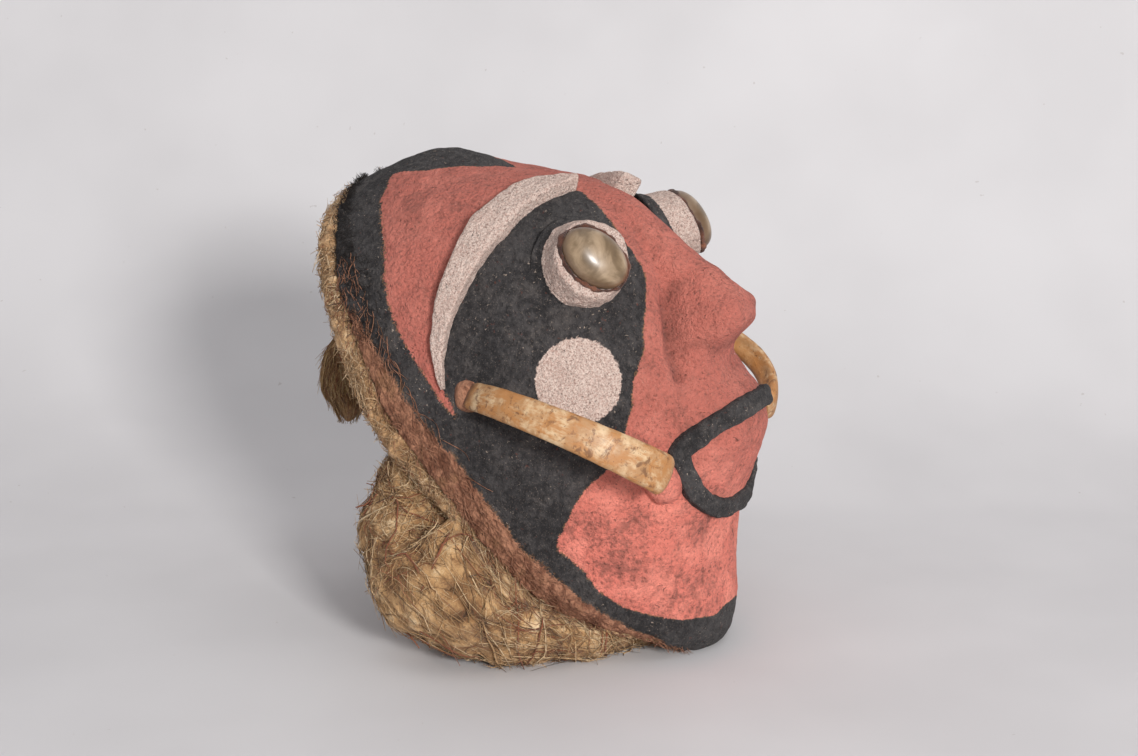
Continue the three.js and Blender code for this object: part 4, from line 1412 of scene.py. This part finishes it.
@dataclass
class FibreRoll:
    """The lumpy roll of fibre behind the jaw, as a tube over (share of its line, angle)."""

    rows: Rows = (
        (0, 16, 21, 9), (29, 25, 30.5, 12.5), (48, 40, 45.5, 19), (61, 58, 71, 32.5), (59, 70, 100, 32.5),
        (62, 63, 121, 19), (68, 54, 136, 9),
    )
    cap: float = 0.05
    line_length: float = 330.0
    least_radius: float = 8.0
    strands: int = 3600
    sticks: int = 260
    strand_look: Look = Look((0.08, 0.26), (-0.5, 0.9), 1.6, 1.6, (5, 26), (0.6, 0.24), rusty=0.1)
    stick_look: Look = Look((0.25, 0.55), (0.2, 1.8), 3.0, 0.25, (10, 42), (0.75, 0.2), 0.0, 0.5)

    def __post_init__(self) -> None:
        """Draws the line through the rows and their mirror image."""
        mirrored = [(-x, y, z, r) for x, y, z, r in self.rows[:0:-1]]
        self.line = spline(np.array([*mirrored, *self.rows], float), 400)
        self.lumps = Lumps(Seed.ROLL)
        self.turned = 1.0
        probe = self.normal(np.array([0.5]), np.array([0.0]))
        away = self.point(np.array([0.5]), np.array([0.0])) - self.centre(np.array([0.5]))[0]
        self.turned = 1.0 if float((probe * away).sum()) > 0 else -1.0

    def centre(self, u: Array) -> tuple[Array, Array]:
        """The line's point and radius at shares of it."""
        at = np.clip(u, 0, 1) * (len(self.line) - 1)
        knots = np.arange(len(self.line))
        made = np.stack([np.interp(at, knots, self.line[:, k]) for k in range(4)], -1)
        return made[..., :3], made[..., 3]

    def smooth(self, u: Array, v: Array) -> Array:
        """centre + radius (cos v side + sin v up), rounded off at both ends."""
        c, r = self.centre(u)
        ahead = unit(self.centre(np.clip(u + 0.01, 0, 1))[0] - self.centre(np.clip(u - 0.01, 0, 1))[0])
        back = np.array([0.0, 1.0, 0.0])
        side = unit(back - (ahead @ back)[..., None] * ahead)
        up = np.cross(ahead, side)
        over = np.clip(np.maximum(-u, u - 1) / self.cap, 0, 1) * math.pi / 2
        c = c + ahead * (np.sign(u - 0.5) * r * np.sin(over))[..., None]
        return c + (r * np.cos(over))[..., None] * (np.cos(v)[..., None] * side + np.sin(v)[..., None] * up)

    def point(self, u: Array, v: Array) -> Array:
        """The smooth tube, pushed out by lumps of three sizes and kept behind the paste's edge."""
        u, v = np.broadcast_arrays(np.asarray(u, float), np.asarray(v, float))
        p = self.smooth(u, v)
        c, r = self.centre(u)
        away = unit(p - c)
        lump = self.lumps(p, 26, 2) * 4.2 + self.lumps(p + 50, 9, 2) * 2.6
        lump = lump + np.abs(self.lumps(p + 90, 3.6, 2)) * 1.6 - 1.0
        p = p + away * (lump * np.clip(r / 22, 0.3, 1))[..., None]
        edge = -FACE.back(FACE.turn(np.clip(p[..., 2] / FACE.height, 0, 1))) + 1.0
        before = p[..., 1] - edge
        soft = 3.0
        p = p.copy()
        p[..., 1] = edge + soft * np.logaddexp(0, before / soft)
        return p

    def normal(self, u: Array, v: Array) -> Array:
        """The outward normal, from differences of the roll's points."""
        e = 2e-3
        along = self.point(u + e, v) - self.point(u - e, v)
        across = self.point(u, v + e) - self.point(u, v - e)
        return unit(np.cross(along, across)) * self.turned

    def build(self, loose: bpy.types.Material) -> None:
        """Makes the roll's body and the strands over it."""
        u = np.linspace(-self.cap, 1 + self.cap, 420)[:, None]
        v = angles(200)[None, :]
        grid = Grid(self.point(u, v), loop=True)
        smooth = self.smooth(u, v)
        # painted shade: the tone mostly follows the lumps that shape the roll, darker in its hollows and
        # paler on its bumps
        depth = self.lumps(smooth + 50, 9, 2) + 0.6 * self.lumps(smooth + 90, 3.6, 2)
        grid.fields["tone"] = 0.44 + 0.5 * depth + 0.25 * self.lumps(smooth, 26, 2)
        grid.fields["rust"] = np.clip(self.lumps(grid.points, 30) - 0.5, 0, 1)
        Piece("matted_roll", Slot.LOOSE, loose, ("fibre_roll",)).add(grid).build()
        for part, seed in ((1, Seed.ROLL_STRANDS), (2, Seed.MORE_ROLL_STRANDS)):
            name = f"roll_strands_{part}"
            self.cover(name, Strands(seed), self.strands, (0.0, 1.0), self.strand_look, 0.3, loose).build()
        strands, reach = Strands(Seed.ROLL_STICKS), (0.03, 0.97)
        self.cover("roll_sticks", strands, self.sticks, reach, self.stick_look, 0.0, loose).build()

    def cover(
        self, name: str, strands: Strands, count: int, reach: Span, look: Look, shade: float,
        loose: bpy.types.Material,
    ) -> Piece:
        """Strands, stalks or straws over the roll, between two shares of its line."""
        u = strands.random.uniform(*reach, count)
        v = strands.random.uniform(0, 2 * math.pi, count)
        scale = self.line_length, np.maximum(self.centre(u)[1], self.least_radius)
        # painted shade: strands over the roll's hollows darker, those over its lumps paler
        tint = shade * self.lumps(self.smooth(u, v) + 50, 9, 2)
        return strands.layer(name, Slot.LOOSE, loose, self.point, self.normal, (u, v), scale, look, tint)


@dataclass
class Lining:
    """The matted fibre inside the paste, with the rolled rim behind the paste's edge."""

    wall: float = 5.0
    lip_depth: float = 11.0
    section: Rows = (
        (-6.5, 0.1), (-2.5, 0.1), (-0.5, 0.3), (-0.5, 0.65), (-3, 0.95), (-6.5, 1), (-10, 0.8), (-12, 0.4),
    )
    full_rows: Rows = ((0, 0.25), (0.15, 0.3), (0.4, 0.6), (0.55, 1), (1, 1))
    rim_points: int = 34
    outer_columns: int = 14
    strands: int = 2600
    rim_scale: Span = (150.0, 34.0)  # mm to a unit of the rim's turn and share
    inner_scale: Span = (150.0, 85.0)  # mm to a radian of turn and swing
    rim_look: Look = Look(
        (0.08, 0.26), (-0.2, 1.2), 1.3, 1.2, (5, 22), (0.66, 0.22), rusty=0.07, rust=0.8, spread=0.8
    )
    inner_look: Look = Look((0.12, 0.3), (0.3, 1.9), 1.5, 0.8, (8, 34), (0.5, 0.18), rusty=0.08, rust=0.8)

    def __post_init__(self) -> None:
        """Prepares the rim's fullness and its lumps."""
        self.fullness = Through(self.full_rows)
        self.lumps = Lumps(Seed.LINING)

    def rim(self, turn: Array, side: Array | int, outwards: Array, backwards: Array) -> Array:
        """The rim's points: section shares outwards and backwards from the paste's edge at each turn."""
        full = self.fullness((1 + np.cos(turn)) / 2)
        swing = side * math.pi / 2
        out = -FACE.wall + (outwards + FACE.wall) * (0.55 + 0.45 * full)
        p = FACE.point(turn, swing) + out[..., None] * FACE.normal(turn, swing)
        p[..., 1] += FACE.gap + backwards * self.lip_depth * full
        return p

    def chain(self, turn: Array, side: int) -> Array:
        """One rim's whole section at each turn."""
        rows = spline(np.array(self.section), self.rim_points)
        return self.rim(turn[:, None], side, rows[:, 0], rows[:, 1])

    def build(self, matted: bpy.types.Material) -> None:
        """Makes the lining as closed loops over the turns, and the strands on it."""
        turn = np.linspace(0, math.pi, 330)
        half = math.pi / 2
        top = FACE.wall + FACE.gap
        outer = FACE.under(turn[:, None], np.linspace(-half, half, self.outer_columns)[None, :], top)
        inner = FACE.under(turn[:, None], np.linspace(half, -half, 110)[None, :], top + self.wall)
        left, right = self.chain(turn, 1), self.chain(turn, -1)[:, ::-1]
        grid = Grid(np.concatenate([outer, left, inner, right], 1), loop=True)
        p = grid.points
        seen = np.ones(p.shape[:2])
        seen[:, : self.outer_columns] = 0
        seen *= np.clip(np.sin(turn) * 6, 0, 1)[:, None]
        tufts = self.lumps(p + 40, 4.4, 2)
        lump = self.lumps(p, 13, 2) * 1.5 + tufts + np.abs(self.lumps(p, 2.1)) * 0.5
        rim = self.rim_share(grid)
        n = self.outward(grid, turn)
        grid.points = p + n * (lump * seen * (0.55 + 0.95 * rim))[..., None]
        # the tone rises with the tuft lumps that also raise the lining, and is 0.12 higher on the rims
        grid.fields["tone"] = 0.44 + 0.35 * tufts + 0.12 * rim
        grid.fields["rust"] = np.clip(0.3 * self.lumps(p, 25), 0, 1)
        Piece("matted_lining", Slot.LINING, matted, ("fibre_lining",)).add(grid).build()
        self.cover(Strands(Seed.LEFT_RIM), 1, matted).build()
        self.cover(Strands(Seed.RIGHT_RIM), -1, matted).build()
        self.cover_inside(Strands(Seed.INSIDE), matted).build()

    def rim_share(self, grid: Grid) -> Array:
        """1 on the rims' columns and 0 on the sheets'."""
        rim = np.zeros(grid.points.shape[:2])
        rim[:, self.outer_columns : self.outer_columns + self.rim_points] = 1
        rim[:, -self.rim_points :] = 1
        return rim

    def outward(self, grid: Grid, turn: Array) -> Array:
        """The loop's normals, with those of the inner sheet pointing into the mask's hollow."""
        p = grid.points
        down = np.gradient(p, axis=0)
        round_ = np.roll(p, -1, 1) - np.roll(p, 1, 1)
        n = unit(np.cross(down, round_))
        middle = len(turn) // 2
        check = float(n[middle, 7] @ FACE.normal(turn[middle], 0.0))
        return n * (1.0 if check > 0 else -1.0)

    def point(self, u: Array, v: Array) -> Array:
        """The rim of one side: u is the turn, v the share round the section, above 1 for the left."""
        u, v = np.broadcast_arrays(np.asarray(u, float), np.asarray(v, float))
        turn = np.clip(u, 0.01, math.pi - 0.01)
        side = np.where(v > 5, 1, -1)
        share = np.clip(np.where(v > 5, v - 10, v), 0, 1)
        count = 60
        rows = spline(np.array(self.section), count)
        outwards, backwards = (np.interp(share * (count - 1), np.arange(count), rows[:, k]) for k in (0, 1))
        return self.rim(turn, side, outwards, backwards)

    def normal(self, u: Array, v: Array) -> Array:
        """Away from the middle of the rim's section."""
        p = self.point(u, v)
        turn = np.clip(u, 0.01, math.pi - 0.01)
        side = np.where(v > 5, 1, -1)
        middle = FACE.under(turn, side * math.pi / 2, FACE.wall)
        middle[..., 1] += self.lip_depth * 0.4
        return unit(p - middle)

    def cover(self, strands: Strands, side: int, matted: bpy.types.Material) -> Piece:
        """Strands along one rim."""
        u = np.arccos(strands.random.uniform(-0.9, 1.0, self.strands))
        v = strands.random.uniform(0.1, 0.95, self.strands) + (10 if side > 0 else 0)
        name = "rim_strands_left" if side > 0 else "rim_strands_right"
        return strands.layer(
            name, Slot.LINING, matted, self.point, self.normal, (u, v), self.rim_scale, self.rim_look
        )

    def cover_inside(self, strands: Strands, matted: bpy.types.Material) -> Piece:
        """Strands over the inside of the lining."""
        depth = FACE.wall + FACE.gap + self.wall
        u = np.arccos(strands.random.uniform(-0.92, 0.97, self.strands))
        v = strands.random.uniform(-1.4, 1.4, self.strands)
        kept = lambda a, b: (np.clip(a, 0.05, 3.09), np.clip(b, -1.5, 1.5))
        surface = lambda a, b: FACE.under(*kept(a, b), depth)
        inwards = lambda a, b: -FACE.normal(*kept(a, b))
        return strands.layer(
            "lining_strands", Slot.LINING, matted, surface, inwards, (u, v), self.inner_scale,
            self.inner_look,
        )


@dataclass
class Tassel:
    """The twisted cord that hangs plumb from the crown's rim, and its bushy end."""

    top: Triple = (0.0, 61.0, 251.0)
    rows: Rows = (
        (0, 0, 5), (12, 2, 4), (40, 4, 4), (60, 5, 6), (75, 6, 12.5), (87, 7, 13), (97, 7, 8), (105, 8, 3),
    )
    plies: int = 3
    ply_radius: float = 2.1
    ply_offset: float = 2.0
    twist: float = 0.32  # radians to a mm
    cord_drop: float = 64.0
    bush_span: Span = (56.0, 105.0)
    strands: int = 900

    def __post_init__(self) -> None:
        """The plumb line, and the two ways across it."""
        c, s = math.cos(LEAN), math.sin(LEAN)
        self.plumb, self.side, self.back = np.array([0, s, -c]), np.array([1.0, 0, 0]), np.array([0, c, s])

    def axis(self, drop: Array) -> tuple[Array, Array]:
        """The tassel's middle and radius at distances down the plumb line."""
        away, radius = (Through(tuple((row[0], row[k]) for row in self.rows))(drop) for k in (1, 2))
        return np.array(self.top) + self.plumb * drop[..., None] + self.back * away[..., None], radius

    def build(self, fibre: bpy.types.Material) -> None:
        """Makes the cord of twisted plies and the bush of strands."""
        lumps = Lumps(Seed.TASSEL)
        drop = np.linspace(0, self.cord_drop, 150)
        centre, _ = self.axis(drop)
        cord = Piece("tassel_cord", Slot.TASSEL, fibre)
        ring = self.ply_radius * circle(angles(18), self.side, self.back)
        for ply in range(self.plies):
            turn = drop * self.twist + 2 * math.pi * ply / self.plies
            off = self.ply_offset * circle(turn, self.side, self.back)
            grid = Grid(capped((centre + off)[:, None] + ring[None]), loop=True)
            grid.moved(0.35 * lumps(grid.points, 3, 2))
            grid.fields["tone"] = 0.45 + 0.3 * lumps(grid.points, 3)
            cord.add(grid)
        made = cord.build()
        bush = self.bush(fibre, lumps)

    def bush(self, fibre: bpy.types.Material, lumps: Lumps) -> list[bpy.types.Object]:
        """The bushy end: a lumpy body and strands that stray from it."""
        drop = np.linspace(*self.bush_span, 90)
        centre, radius = self.axis(drop)
        radius = radius * np.sqrt(np.clip((drop - 55.5) / 5, 0, 1) * np.clip((105.2 - drop) / 4, 0, 1))
        ring = circle(angles(90), self.side, self.back)
        grid = Grid(capped(centre[:, None] + radius[:, None, None] * ring[None] * 0.92), loop=True)
        grid.moved(1.6 * lumps(grid.points, 7, 2) + 0.6 * lumps(grid.points, 2.5, 2))
        grid.fields["tone"] = 0.34 + 0.3 * lumps(grid.points, 5, 2)
        body = Piece("tassel_bush", Slot.TASSEL, fibre, ("fibre_tassel",)).add(grid).build()
        strands = Strands(Seed.TASSEL_STRANDS)
        r, count = strands.random, self.strands
        s = np.linspace(0, 1, strands.points)[None, :]
        start = r.uniform(57, 88, count)[:, None]
        at = np.clip(start + s * r.uniform(8, 26, (count, 1)), 50, 106)
        middle, size = self.axis(at)
        turn = r.uniform(0, 2 * math.pi, (count, 1)) + r.normal(0, 0.5, (count, 1)) * s
        reach = size * (0.9 + 0.12 * r.uniform(size=(count, 1)))
        reach = reach + 1.6 * np.abs(r.normal(size=(count, 1))) * s**3
        path = middle + reach[..., None] * circle(turn, self.side, self.back)
        thick = r.uniform(0.1, 0.28, (count, 1)) * (1 - 0.6 * s**2)
        tone = np.clip(r.normal(0.5, 0.2, count), 0, 1)
        rust = (r.uniform(size=count) < 0.2) * 0.7
        stray = strands.piece("tassel_strands", Slot.TASSEL, fibre, path, thick, tone=tone, rust=rust)
        return [body, stray.build()]


@dataclass(frozen=True)
class Lamp:
    """One soft square lamp, with its size in m and its power in W."""

    name: str
    place: Triple
    aim: Triple
    size: float
    power: float
    tint: Colour

    def build(self) -> None:
        """Puts the lamp in the scene, turned to its aim."""
        data = bpy.data.lights.new(self.name, "AREA")
        data.shape, data.size, data.energy, data.color = "SQUARE", self.size, self.power, self.tint
        made = placed(self.name, data)
        made.location = self.place
        made.rotation_euler = (Vector(self.aim) - Vector(self.place)).to_track_quat("-Z", "Y").to_euler()


@dataclass
class Studio:
    """The pale sweep that the mask sits on, the lights and the camera."""

    azimuth: float = -65.0
    elevation: float = 14.0
    lens: float = 70.0
    distance: float = 0.989
    chin_pixel: Span = (713.0, 643.0)
    image: tuple[int, int] = (1138, 756)
    sensor: float = 36.0
    lamps: tuple[Lamp, ...] = (
        Lamp("key", (-1.45, -1.45, 0.8), (0, 0, 0.08), 0.4, 42, (1, 0.985, 0.97)),
        Lamp("top", (-0.2, -0.2, 1.9), (0, 0, 0), 1.6, 5, (1, 1, 1)),
    )
    air_tint: Colour = (0.97, 0.97, 1)
    air_strength: float = 0.42
    profile: Rows = (
        (-2.2, 0), (-1, 0), (0, 0), (0.16, 0), (0.3, 0.03), (0.42, 0.11), (0.5, 0.24), (0.56, 0.5),
        (0.6, 1.1), (0.62, 2),
    )

    def camera(self) -> None:
        """Places the camera so that the chin lies on its pixel."""
        a, e = math.radians(self.azimuth), math.radians(self.elevation)
        back = np.array([math.sin(a) * math.cos(e), -math.cos(a) * math.cos(e), math.sin(e)])
        right = np.array([math.cos(a), math.sin(a), 0.0])
        up = np.cross(back, right)
        focal = self.lens / self.sensor * self.image[0]
        sx = (self.chin_pixel[0] - self.image[0] / 2) / focal * self.distance
        sy = -(self.chin_pixel[1] - self.image[1] / 2) / focal * self.distance
        place = CHIN * 0.001 + back * self.distance - right * sx - up * sy
        data = bpy.data.cameras.new("camera")
        data.lens, data.sensor_width, data.sensor_fit = self.lens, self.sensor, "HORIZONTAL"
        data.clip_start, data.clip_end = 0.05, 20
        made = placed("camera", data)
        columns = [Vector(right), Vector(up), Vector(back)]
        turn = Matrix(columns).transposed().to_4x4()
        made.matrix_world = Matrix.Translation(Vector(place)) @ turn
        bpy.context.scene.camera = made

    def sweep(self) -> None:
        """A floor that curves up into a backdrop behind the mask, as the camera sees it."""
        a = math.radians(self.azimuth)
        away = np.array([-math.sin(a), math.cos(a), 0.0])
        side = np.array([math.cos(a), math.sin(a), 0.0])
        rows = spline(np.array(self.profile), 80)
        rows[:, 1] = np.maximum(rows[:, 1], 0)
        across = np.linspace(-3, 3, 24)
        up = np.array([0, 0, 1.0])
        points = rows[:, None, :1] * away + across[None, :, None] * side + rows[:, None, 1:] * up
        net = Net("studio_floor")
        tint = net.mix(net.noise(160, 3).rising(0.3, 0.7), rgb(206, 204, 205), rgb(214, 212, 213))
        flecks = net.noise(5, 2, 0.4).rising(0.77, 0.8)
        tint = net.mix(flecks * 0.3, tint, rgb(150, 138, 130))
        material = net.surface(tint, 0.75, net.bump(net.noise(2, 2), 0.01), Specular_IOR_Level=0.2)
        mesh = bpy.data.meshes.new("studio_floor")
        grid = Grid(points)
        mesh.from_pydata(points.reshape(-1, 3).tolist(), [], grid.faces().tolist())
        mesh.polygons.foreach_set("use_smooth", np.ones(len(mesh.polygons), bool))
        mesh.materials.append(material)
        placed("studio_floor", mesh)

    def build(self) -> None:
        """Camera, sweep, lamps and the even light all round."""
        self.camera()
        self.sweep()
        for lamp in self.lamps:
            lamp.build()
        world = bpy.data.worlds.new("studio_air")
        world.use_nodes = True
        air = world.node_tree.nodes["Background"]
        air.inputs["Color"].default_value = (*self.air_tint, 1)
        air.inputs["Strength"].default_value = self.air_strength
        bpy.context.scene.world = world
        bpy.context.scene.view_settings.view_transform = "Standard"


FIBRES = {
    "rim_fibre": (rgb(84, 58, 38), rgb(158, 118, 78), rgb(206, 164, 118), rgb(236, 208, 168)),
    "roll_fibre": (rgb(72, 48, 30), rgb(152, 112, 72), rgb(204, 162, 112), rgb(236, 208, 166)),
    "bush_fibre": (rgb(104, 74, 46), rgb(166, 124, 80), rgb(202, 164, 112), rgb(224, 196, 150)),
    "bedding_paste": (rgb(60, 36, 28), rgb(110, 66, 48), rgb(150, 100, 76), rgb(190, 150, 120)),
}


def main() -> None:
    """Builds the studio and the mask's pieces in order."""
    logging.basicConfig(level=logging.INFO, format="%(message)s")
    Studio().build()
    paint = Paint().build()
    matted, loose, tassel, bedding = (Fibre(name, *tints).build() for name, tints in FIBRES.items())
    PaintedFace().build(paint)
    BrowCrescents().build(paint)
    Eyes().build(paint, EyeShell().build(), bedding)
    Mouth().build(paint)
    Tusks().build(TuskEnamel().build(), paint)
    Lining().build(matted)
    FibreRoll().build(loose)
    Tassel().build(tassel)


if __name__ == "__main__":
    main()
